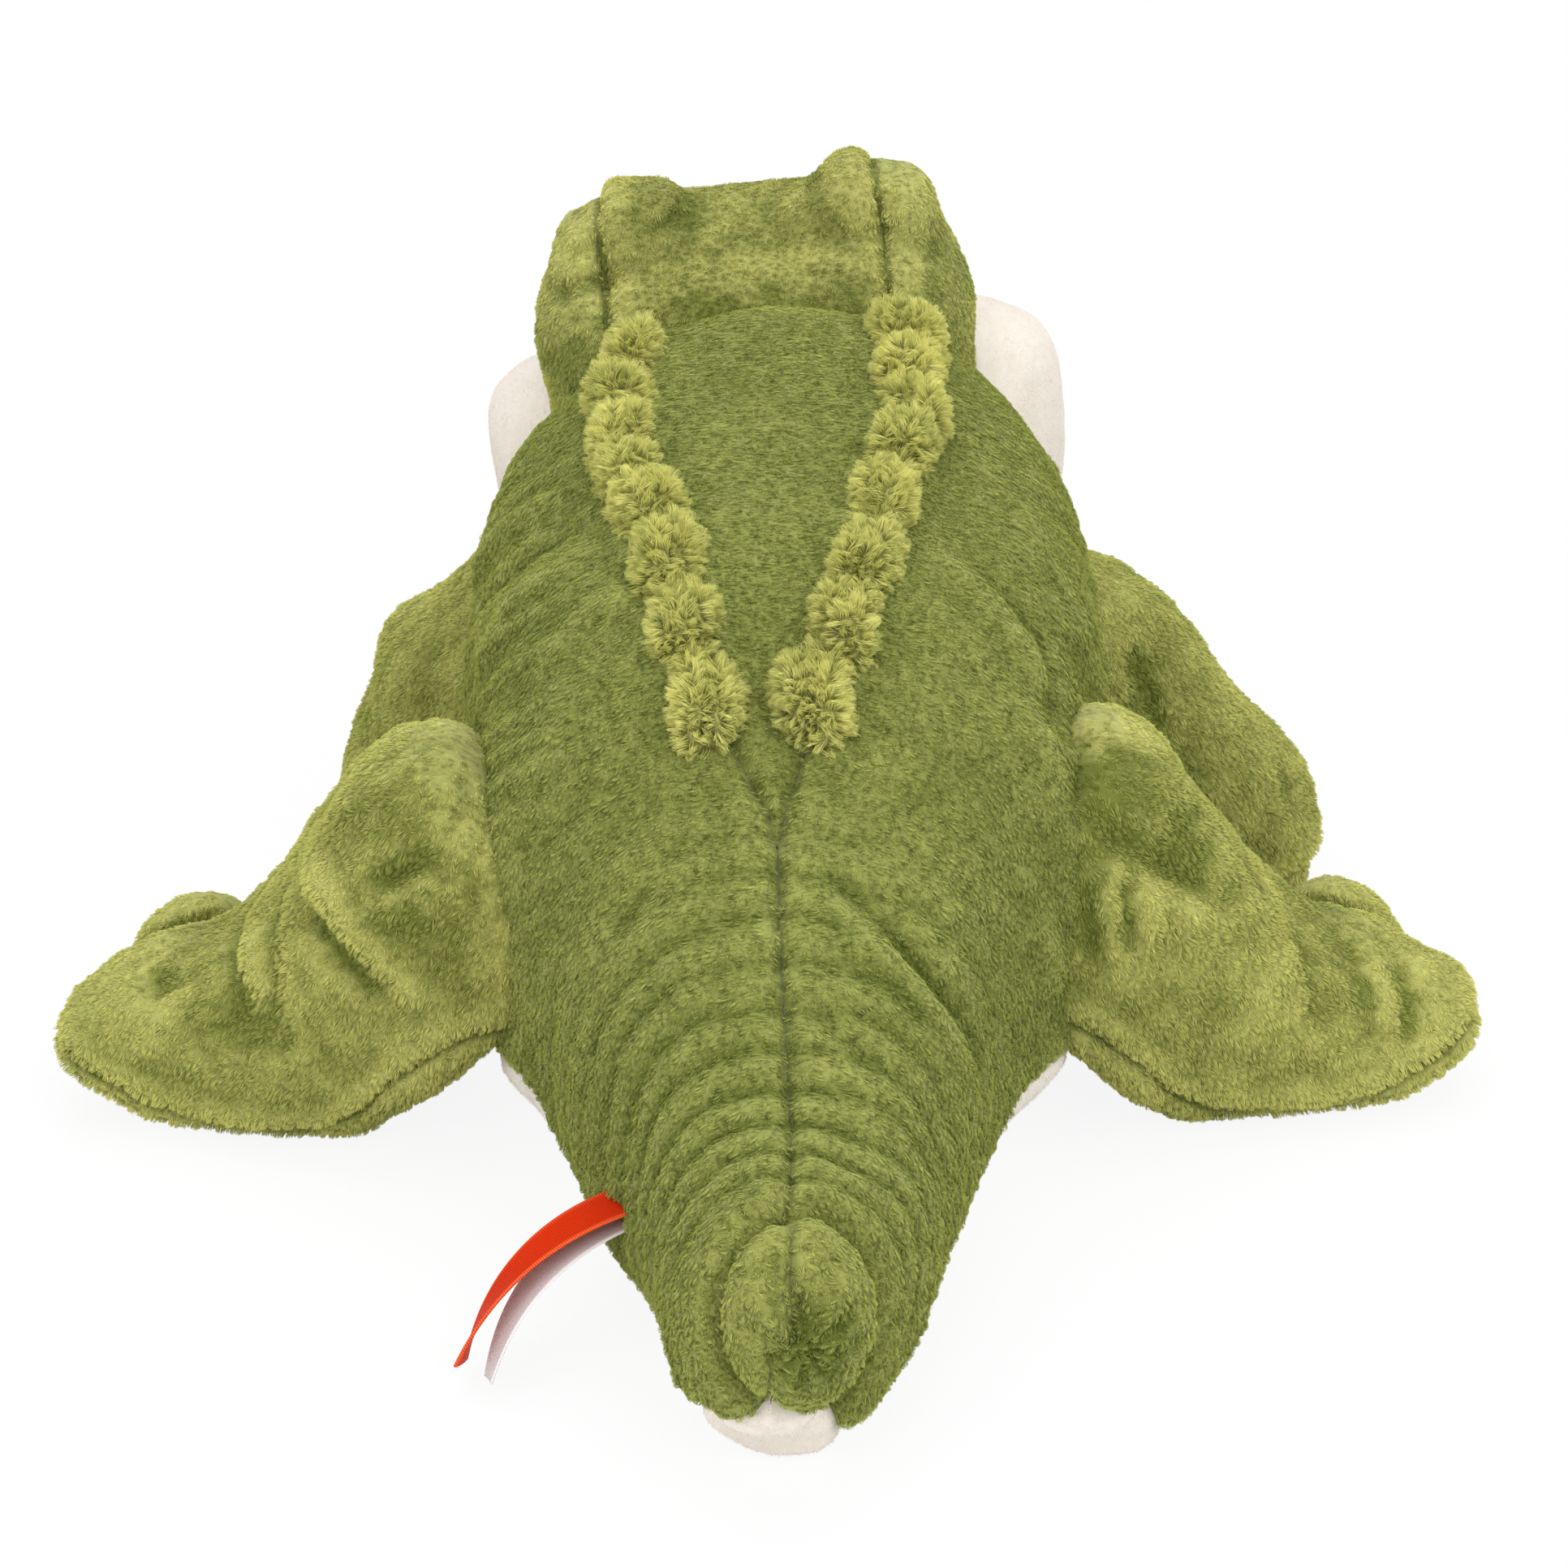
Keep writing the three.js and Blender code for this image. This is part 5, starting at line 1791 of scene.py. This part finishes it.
@dataclass(frozen=True)
class EyePlastic:
    """The glossy black plastic of a safety eye."""

    def material(self) -> bpy.types.Material:
        """The material, with a faint haze of handling.

        Returns:
            The material.
        """
        graph = Graph.material("eye_plastic")
        haze = graph.noise(1.5, 4)
        color = graph.mix(haze, (0.004, 0.003, 0.003, 1), (0.012, 0.01, 0.008, 1))
        roughness = 0.05 + 0.08 * haze.clamped(0.45, 0.7)
        graph.surface({"Base Color": color, "Roughness": roughness, "Coat Weight": 0.5})
        return graph.owner


@dataclass
class Eyes:
    """Two safety eyes on the eye bumps, each locked inside by its washer.

    Args:
        head: the head that they sit on.
        radius: a button's radius.
        rise: how high its dome is.
        brim: how thick it is at its edge.
        shank: its stem's radius.
        shank_length: its stem's length.
        aim: the way that the right eye looks.
        aside: how far from the head's middle an eye lies.
        sink: how far it lies below the crown's height.
        sides: how many sides its circles have.
    """

    head: Head
    radius: float = 5
    rise: float = 3.4
    brim: float = 0.9
    shank: float = 1.5
    shank_length: float = 10
    aim: Place = (0.2, 0.97, 0.08)
    aside: float = 28
    sink: float = 15
    sides: int = 48

    def button(self) -> Cloth:
        """One domed button on its stem, turned around the Z axis.

        Returns:
            The closed button.
        """
        axis, chamfer, dome_steps = 0.02, 0.5, 16
        steps = np.linspace(0, math.pi / 2, dome_steps)
        dome = np.stack([self.radius * np.cos(steps), self.brim + self.rise * np.sin(steps)], axis=1)
        stem = [
            (axis, -self.shank_length),
            (self.shank, -self.shank_length),
            (self.shank, 0.2),
            (self.radius * 0.9, 0.3),
        ]
        profile = np.vstack([stem, [(self.radius, chamfer)], dome[:-1], [(axis, self.brim + self.rise)]])
        turns = np.linspace(0, 2 * math.pi, self.sides, endpoint=False)
        radius, level = profile[:, :1], profile[:, 1:]
        grid = np.stack([radius * np.cos(turns), radius * np.sin(turns), level + 0 * turns], axis=-1)
        button = Cloth.of_grid(grid, ring=True)
        last = len(button.points) - self.sides
        button.faces += [tuple(range(self.sides)), tuple(range(last, last + self.sides))[::-1]]
        return button.flipped()

    def build(self) -> None:
        """Makes one button a side, and dresses the washers."""
        button = self.button()
        material = EyePlastic().material()
        far_ahead = 60
        rolled = self.head.rolled
        for side in Side:
            aim = Vector((side.value * self.aim[0], *self.aim[1:])).normalized()
            inside = Vector((side.value * self.aside, self.head.bump_y, self.head.height - self.sink))
            start = rolled @ (inside + far_ahead * aim)
            place, normal, _, _ = self.head.tree.ray_cast(start, -(rolled.to_3x3() @ aim))
            matrix = Matrix.Translation(place) @ Vector(normal).to_track_quat("Z", "Y").to_matrix().to_4x4()
            made = piece(f"eye_button_{side.word}", button.placed(matrix), material, "eye")
            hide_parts(f"eye_{side.word}")
            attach(made, "head")
            low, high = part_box(f"eye_{side.word}")
            solid = [round((a + b) / 2 / MM, 1) for a, b in zip(low, high, strict=True)]
            log.info("eye at %s, its solid around %s", [round(c, 1) for c in place], solid)
            washer = frame["nodes"][f"eye_washer_{side.word}"]
            washer.data.materials.clear()
            washer.data.materials.append(washer_plastic())


def washer_plastic() -> bpy.types.Material:
    """The dull white plastic of a washer.

    Returns:
        The material.
    """
    graph = Graph.material("washer_plastic")
    grain = graph.noise(0.8, 3)
    color = graph.mix(grain, scaled((214, 214, 208)), scaled((236, 236, 231)))
    graph.surface({"Base Color": color, "Roughness": 0.35 + 0.2 * grain, "Normal": graph.bump(grain, 0.05)})
    return graph.owner


@dataclass(frozen=True)
class Weave:
    """A woven strip: fine threads along and across it.

    Args:
        name: the finish.
        slot: the record's material slot.
        color: its colour.
        edge: the colour of its selvedge.
        thread: a thread's width in millimetres.
        gloss: its roughness.
    """

    name: str
    slot: str
    color: tuple[int, int, int]
    edge: tuple[int, int, int]
    thread: float
    gloss: float

    def material(self, turn: float) -> bpy.types.Material:
        """The material of a strip that runs at an angle.

        Args:
            turn: the strip's angle to X, in radians.

        Returns:
            The material.
        """
        graph = Graph.material(self.name)
        pitch = 2 * math.pi / (self.thread * MM)
        place = graph.node("ShaderNodeTexCoord", output="Object")

        def threads(angle: float) -> Value:
            """Ridges across one direction.

            Args:
                angle: the direction's angle to X, in radians.

            Returns:
                Values from 0 to 1.
            """
            axis = (math.cos(angle) * pitch, math.sin(angle) * pitch, 0.6 * pitch)
            inputs = {0: place, 1: axis}
            along = graph.node("ShaderNodeVectorMath", {"operation": "DOT_PRODUCT"}, inputs, "Value")
            return 0.5 + 0.5 * graph.node("ShaderNodeMath", {"operation": "SINE"}, {0: along})

        weave = threads(turn) * threads(turn + math.pi / 2)
        selvedge = graph.attribute("selvedge")
        shade = tuple(0.72 * c for c in scaled(self.color)[:3]) + (1,)
        cloth = graph.mix(weave.clamped(0, 0.8), shade, scaled(self.color))
        stripe = graph.mix(threads(turn).clamped(0.1, 0.7), scaled(self.color), scaled(self.edge))
        height = weave + 0.5 * graph.noise(0.3, 2)
        graph.surface(
            {
                "Base Color": graph.mix(selvedge, cloth, stripe),
                "Roughness": self.gloss + 0.12 * weave,
                "Specular IOR Level": 0.12,
                "Normal": graph.bump(height, 0.06),
            }
        )
        return graph.owner


@dataclass
class Label:
    """A strip sewn into the tail's left seam, which curls out and down to just above the floor.

    Args:
        trunk: the trunk that it is sewn to.
        name: its name.
        finish: its weave.
        node: the CAD node that it stands for.
        length: its length.
        width: its width.
        thickness: its thickness.
        drop: how much lower its tip lies than its root.
        turn: the way that it runs, in degrees from the left towards the back.
        height: the height of its root.
        twist: how far its tip is turned about its length, in degrees.
        root_y: the Y of its root.
        gap: how far its tip stays off the floor.
        bow: how far it bows to the left.
        cup: how far its edges curl up.
    """

    trunk: Trunk
    name: str
    finish: Weave
    node: str
    length: float
    width: float
    thickness: float
    drop: float
    turn: float
    height: float
    twist: float
    root_y: float = -101
    gap: float = 1
    bow: float = 6
    cup: float = 0.25

    def path(self) -> Array:
        """The strip's middle line, from inside the seam to its tip.

        Returns:
            Its points, one a row.
        """
        form = self.trunk.form
        dense = np.linspace(0, 1, 2000)
        ring = form.rings(np.array([np.interp(self.root_y - self.trunk.tip, form.rings(dense)["y"], dense)]))
        x = float((ring["shift"] - ring["half"])[0]) + SKIN
        turn = math.radians(self.turn)
        run = math.sqrt(self.length**2 - self.drop**2) + 2 * SKIN
        root = np.array([x, self.root_y, self.height])
        low = max(self.height - self.drop, self.gap + self.thickness)
        tip = np.array([x - run * math.cos(turn), self.root_y - run * math.sin(turn), low])
        bend = (root + tip) / 2
        bend[2] = root[2] + (bend[2] - root[2]) / 3
        bend[0] -= self.bow
        t = np.linspace(0, 1, 60)[:, None]
        return (1 - t) ** 2 * root + 2 * t * (1 - t) * bend + t**2 * tip

    def build(self) -> None:
        """Makes the strip around its middle line."""
        path = self.path()
        turn = math.radians(self.turn)
        along = np.gradient(path, axis=0)
        along /= np.linalg.norm(along, axis=1, keepdims=True)
        across = np.array([math.sin(turn / 2), -math.cos(turn / 2), 0])
        across = across - (along @ across)[:, None] * along
        across /= np.linalg.norm(across, axis=1, keepdims=True)
        face = np.cross(along, across)
        angle = math.radians(self.twist) * np.linspace(0, 1, len(path))[:, None] ** 2
        turned = np.cos(angle) * across + np.sin(angle) * face
        face = np.cos(angle) * face - np.sin(angle) * across
        # Its section is cupped, and thinner at the selvedges
        edge = np.linspace(-1, 1, 21)
        cup = self.cup * (edge**2 - 0.4)
        selvedge = smooth_step(np.abs(edge), 0.74, 0.86)
        rib = self.thickness / 2 * (0.6 + 0.4 * selvedge) * np.sqrt(1.02 - edge**8)
        u = np.concatenate([edge, edge[::-1]]) * self.width / 2
        v = np.concatenate([cup + rib, (cup - rib)[::-1]])
        grid = path[:, None] + u[None, :, None] * turned[:, None] + v[None, :, None] * face[:, None]
        strip = Cloth.of_grid(grid, ring=True)
        last = len(strip.points) - len(u)
        strip.faces += [tuple(range(len(u))), tuple(range(last, last + len(u)))[::-1]]
        made = piece(self.name, strip, self.finish.material(turn), self.finish.slot)
        mark(made, "selvedge", smooth_step(np.abs(np.tile(u, len(path))) / (self.width / 2), 0.78, 0.84))
        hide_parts(self.node)
        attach(made, "labels")


def labels(trunk: Trunk) -> list[Label]:
    """The woven ribbon, and the smooth care label under it. Both are bare.

    Args:
        trunk: the trunk that they are sewn to.

    Returns:
        Both labels.
    """
    weave = Weave("ribbon_weave", "ribbon", (234, 52, 0), (240, 110, 62), thread=0.45, gloss=0.6)
    satin = Weave("care_satin", "label", (244, 240, 240), (250, 248, 248), thread=0.25, gloss=0.3)
    ribbon = dict(length=30.5, width=8, thickness=0.7, drop=19.5, turn=29, height=23, twist=30)
    care = dict(length=28, width=7.5, thickness=0.5, drop=18, turn=39, height=20.4, twist=14)
    return [
        Label(trunk, "ribbon_strip", weave, "ribbon_label", **ribbon),
        Label(trunk, "care_strip", satin, "care_label", **care),
    ]


@dataclass
class Leg:
    """One leg: its upper panel with a toe lobe, and its sole.

    Args:
        name: its name, which is also its body's.
        side: its side of the toy.
        trunk: the trunk that it is sewn to.
        stations: its table of sections, from inside the trunk to the foot.
        start: how far from the toy's middle its table starts.
        reach: how far from the toy's middle its foot ends.
        root: the Y of its middle line.
        width: its width along Y.
        height: its height.
        hinge: how far out and how high its joint lies; not used.
        sole_line: how high the sole's seam runs, by how far out it is.
        toe_reach: how far from the toy's middle the toe lobe ends.
        toe_length: the toe lobe's length along X.
        toe_shift: how far ahead of the middle line the toe lobe lies.
        toe_width: the toe lobe's width along Y.
        toe_height: the toe lobe's height.
        seed: the seed of its lumps.
        folds: its folds and creases.
        bend: how far out and up of the joint it would follow fully; not used.
        groove: how deep its seam lies.
        fold_gain: how many times higher its folds are than their list says.
        voxel: the size of its faces.
        pile_sink: how far the cloth lies below the tips of the pile.
        buried: how deep the cloth goes on inside the trunk.
    """

    name: str
    side: Side
    trunk: Trunk
    stations: Sequence[Row]
    start: float
    reach: float
    root: float
    width: float
    height: float
    hinge: tuple[float, float]
    sole_line: Sequence[tuple[float, float]]
    toe_reach: float
    toe_length: float
    toe_shift: float
    toe_width: float
    toe_height: float
    seed: int
    folds: Sequence[Fold] = ()
    bend: tuple[float, float] = (26, 7)
    groove: float = 1.6
    fold_gain: float = 1.35
    voxel: float = 1.2
    pile_sink: float = 1.3
    buried: float = 7

    def seam_height(self, cloth: Cloth) -> Array:
        """How high the sole's seam runs at each point's place along the leg."""
        run, height = np.array(self.sole_line).T
        return np.interp(self.side.value * cloth.points[:, 0], run, height)

    def skin(self, form: Form) -> Cloth:
        """The skin around the leg and its toe, with its lumps, folds and creases.

        Args:
            form: the leg without its toe, along Y from its start.

        Returns:
            The skin at the leg's place.
        """
        coarse = 1.7
        sign = self.side.value
        plain = form.skin(coarse)
        x, y, z = plain.points.T
        plain = Cloth(np.stack([sign * (y + self.start), x + self.root, z], axis=1), plain.faces)
        if self.side is Side.RIGHT:
            plain = plain.flipped()
        size = np.array([self.toe_length, self.toe_width, self.toe_height])
        out = self.toe_reach - self.toe_length / 2
        center = np.array([sign * out, self.root + self.toe_shift, self.toe_height / 2])
        skin = fused([plain, ball(center, size)], self.voxel, 1)
        x, y, z = skin.points.T
        leg_depth = form.depth_below(np.stack([y - self.root, sign * x - self.start, z], axis=1))
        toe_depth = (1 - np.linalg.norm((skin.points - center) / (size / 2), axis=1)) * self.toe_width / 2
        crease_depth, crease_width = 3.6, 2.4
        crease = -crease_depth * dip(leg_depth, crease_width) * dip(toe_depth, crease_width)
        above_seam = z - self.seam_height(skin)
        lumps = 1.7 * Grain(26, self.seed).at(skin.points) + 0.6 * Grain(11, self.seed + 2).at(skin.points)
        lumps += 0.3 * Grain(5, self.seed + 1).at(skin.points) + crease + sewn(above_seam, self.groove)
        lumps += self.fold_gain * folded(skin.points, self.folds) - self.pile_sink
        skin.points += (lumps * smooth_step(z, 0, 5))[:, None] * skin.normals()
        skin.points[:, 2] = np.maximum(skin.points[:, 2], 0)
        return skin

    def build(self) -> None:
        """Makes the upper panel and the sole, and bakes their placement into their meshes."""
        section = (0.4, 0.85, 0.9, 0.6)
        skin = self.skin(Form(self.stations, self.reach - self.start, self.width, self.height, section))
        # The seam is cut as a plane through the skin, which is bent to it and back
        skin.points[:, 2] -= self.seam_height(skin)
        skin = skin.cut((0, 0, 0), (0, 0, 1))
        under = skin.centers()[:, 2] < 0
        skin.points[:, 2] = np.maximum(skin.points[:, 2] + self.seam_height(skin), 0)
        outside = self.trunk.depth_below(skin.centers()) < self.buried
        x, z = self.hinge
        parts = (
            ("upper", outside & ~under, (f"{self.name}_upper_panel", f"{self.name}_filling")),
            ("sole", outside & under, (f"{self.name}_sole_panel",)),
        )
        for name, keep, nodes in parts:
            part = skin.part(keep)
            edge = np.abs(part.points[:, 2] - self.seam_height(part))
            bare = self.trunk.depth_below(part.points)
            made = plush(f"{self.name}_{name}", part, LEG_PILES[self.side], nodes, edge, bare)
            out, up = self.bend
            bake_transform(made)


HIND_STATIONS = (
    (0, 0, 0.52, 0.52),
    (0.05, 0.62, 0.36, 0.6, 0, 0.6),
    (0.16, 0.88, 0.3, 0.77, 0, 0.8),
    (0.28, 0.97, 0.15, 0.91, 0.05, 1),
    (0.42, 0.97, 0.015, 0.84, 0.14, 1),
    (0.57, 0.89, 0, 0.59, 0.22, 1),
    (0.7, 0.78, 0, 0.42, 0.27, 1),
    (0.82, 0.67, 0.015, 0.37, 0.25, 0.9),
    (0.92, 0.52, 0.07, 0.305, 0.2, 0.6),
    (0.975, 0.33, 0.125, 0.25, 0.17, 0.3),
    (1, 0, 0.18, 0.18, 0.15, 0),
)
FRONT_LEFT_STATIONS = (
    (0, 0, 0.52, 0.52),
    (0.06, 0.6, 0.36, 0.8, 0, 0.6),
    (0.2, 0.9, 0.26, 0.94, 0, 0.8),
    (0.34, 1, 0.1, 0.925, 0.06, 1),
    (0.5, 0.97, 0, 0.84, 0.16, 1),
    (0.6, 0.9, 0, 0.78, 0.24, 1),
    (0.7, 0.85, 0, 0.74, 0.3, 1),
    (0.81, 0.78, 0, 0.66, 0.35, 1),
    (0.89, 0.7, 0, 0.54, 0.36, 0.9),
    (0.96, 0.5, 0.02, 0.41, 0.34, 0.5),
    (1, 0, 0.16, 0.16, 0.33, 0),
)
FRONT_RIGHT_STATIONS = (
    (0, 0, 0.52, 0.52),
    (0.06, 0.6, 0.36, 0.8, 0, 0.6),
    (0.2, 0.9, 0.26, 0.945, 0, 0.8),
    (0.34, 1, 0.1, 0.91, 0.06, 1),
    (0.5, 0.97, 0, 0.825, 0.16, 1),
    (0.64, 0.88, 0, 0.69, 0.27, 1),
    (0.78, 0.8, 0, 0.52, 0.36, 1),
    (0.89, 0.7, 0, 0.42, 0.36, 0.9),
    (0.96, 0.5, 0.02, 0.32, 0.34, 0.5),
    (1, 0, 0.16, 0.16, 0.33, 0),
)


def legs(trunk: Trunk) -> list[Leg]:
    """The four legs at their places on the trunk.

    Args:
        trunk: the trunk that they are sewn to.

    Returns:
        The legs.
    """
    hind_sole = ((46, 27), (51, 25), (60, 18), (66, 10), (74, 4), (92, 3), (102, 5.5), (110, 10), (120, 16))
    front_sole = ((55, 20), (62, 14), (75, 6), (92, 4), (105, 9))
    hind = dict(trunk=trunk, stations=HIND_STATIONS, start=24, reach=121, width=55, height=77.5)
    hind |= dict(toe_reach=112, toe_length=26.4, toe_shift=28, toe_width=23, toe_height=27)
    hind |= dict(sole_line=hind_sole)
    front = dict(trunk=trunk, start=34, width=48, height=77, toe_length=28.8, toe_shift=23, toe_width=19)
    front |= dict(toe_height=24, sole_line=front_sole, root=43)
    front_left = dict(stations=FRONT_LEFT_STATIONS, reach=82, toe_reach=78, hinge=(54.6, 74))
    front_right = dict(stations=FRONT_RIGHT_STATIONS, reach=105, toe_reach=101, hinge=(58.12, 74))
    hind_left = dict(root=-37, hinge=(36.61, 75))
    hind_right = dict(root=-31, hinge=(44.09, 75))
    return [
        Leg("hind_leg_left", Side.LEFT, seed=51, folds=HIND_LEFT_FOLDS, **hind_left, **hind),
        Leg("hind_leg_right", Side.RIGHT, seed=61, folds=HIND_RIGHT_FOLDS, **hind_right, **hind),
        Leg("front_leg_left", Side.LEFT, seed=71, folds=FRONT_LEFT_FOLDS, **front_left, **front),
        Leg("front_leg_right", Side.RIGHT, seed=81, folds=FRONT_RIGHT_FOLDS, **front_right, **front),
    ]


# The floor, the light and the camera


@dataclass(frozen=True)
class Studio:
    """Floor, light and camera.

    Args:
        eye: the camera's place in millimetres.
        pitch: how far it looks up from straight down, in degrees.
        lens: its focal length.
        floor_half: half the floor's size in metres.
        floor_gap: how far the floor lies under the toy, in metres.
    """

    eye: Place = (2.7, -509, 281)
    pitch: float = 65
    lens: float = 74.53
    floor_half: float = 4
    floor_gap: float = 0.0002

    def floor(self) -> None:
        """A plain pale floor that turns pure white away from the toy."""
        size = self.floor_half
        mesh = bpy.data.meshes.new("floor")
        corners = [(-size, -size, 0), (size, -size, 0), (size, size, 0), (-size, size, 0)]
        mesh.from_pydata(corners, [], [(0, 1, 2, 3)])
        floor = bpy.data.objects.new("floor", mesh)
        floor.location.z = -self.floor_gap
        bpy.context.collection.objects.link(floor)
        graph = Graph.material("floor")
        rays = ("Is Camera Ray", "Is Glossy Ray", "Is Transmission Ray")
        camera, glossy, through = (graph.node("ShaderNodeLightPath", output=name) for name in rays)
        seen = camera + glossy + through
        place = graph.node("ShaderNodeTexCoord", output="Object")
        reach = graph.node("ShaderNodeVectorMath", {"operation": "LENGTH"}, {0: place}, "Value")
        far = reach.clamped(0.1, 0.3)
        plain = graph.node("ShaderNodeBsdfDiffuse", {}, {"Color": (0.9, 0.9, 0.9, 1)})
        white = graph.node("ShaderNodeEmission", {}, {"Color": (1, 1, 1, 1), "Strength": 1})
        share = (0.9 + 0.1 * far) * seen.clamped(0, 1)
        graph.end(graph.node("ShaderNodeMixShader", {}, {0: share, 1: plain, 2: white}))
        mesh.materials.append(graph.owner)

    def lamp(self, name: str, place: Sequence[float], size: float, power: float) -> None:
        """A square soft lamp that faces the toy.

        Args:
            name: its name.
            place: where it hangs, in metres.
            size: its side in metres.
            power: its watts.
        """
        data = bpy.data.lights.new(name, "AREA")
        data.size = size
        data.energy = power
        made = bpy.data.objects.new(name, data)
        made.location = place
        made.rotation_euler = (Vector((0, 0, 0.05)) - Vector(place)).to_track_quat("-Z", "Y").to_euler()
        bpy.context.collection.objects.link(made)

    def build(self) -> None:
        """Sets up everything around the toy."""
        self.floor()
        world = bpy.data.worlds.new("studio")
        bpy.context.scene.world = world
        graph = Graph(world)
        path = graph.node("ShaderNodeLightPath", output="Is Camera Ray")
        soft = graph.node("ShaderNodeBackground", {}, {"Color": (1, 1, 1, 1), "Strength": 0.5})
        white = graph.node("ShaderNodeBackground", {}, {"Color": (1, 1, 1, 1), "Strength": 1})
        graph.end(graph.node("ShaderNodeMixShader", {}, {0: path, 1: soft, 2: white}))
        self.lamp("overhead", (0, 0.15, 1.3), 1.2, 9)
        self.lamp("near_left", (-0.7, -1, 0.8), 0.9, 7)
        self.lamp("near_right", (0.8, -0.9, 0.9), 0.9, 8)
        data = bpy.data.cameras.new("camera")
        data.lens = self.lens
        data.clip_start = 0.01
        camera = bpy.data.objects.new("camera", data)
        camera.location = tuple(MM * c for c in self.eye)
        camera.rotation_euler = (math.radians(self.pitch), 0, 0)
        bpy.context.collection.objects.link(camera)
        bpy.context.scene.camera = camera
        bpy.context.scene.view_settings.view_transform = "Standard"


def main() -> None:
    """Builds the toy and its set."""
    logging.basicConfig(level=logging.INFO, format="%(name)s: %(message)s")
    Studio().build()
    trunk = Trunk()
    trunk.build()
    Crest(trunk).build()
    head = Head(trunk)
    head.build()
    Eyes(head).build()
    for label in labels(trunk):
        label.build()
    for leg in legs(trunk):
        leg.build()


if __name__ == "__main__":
    main()
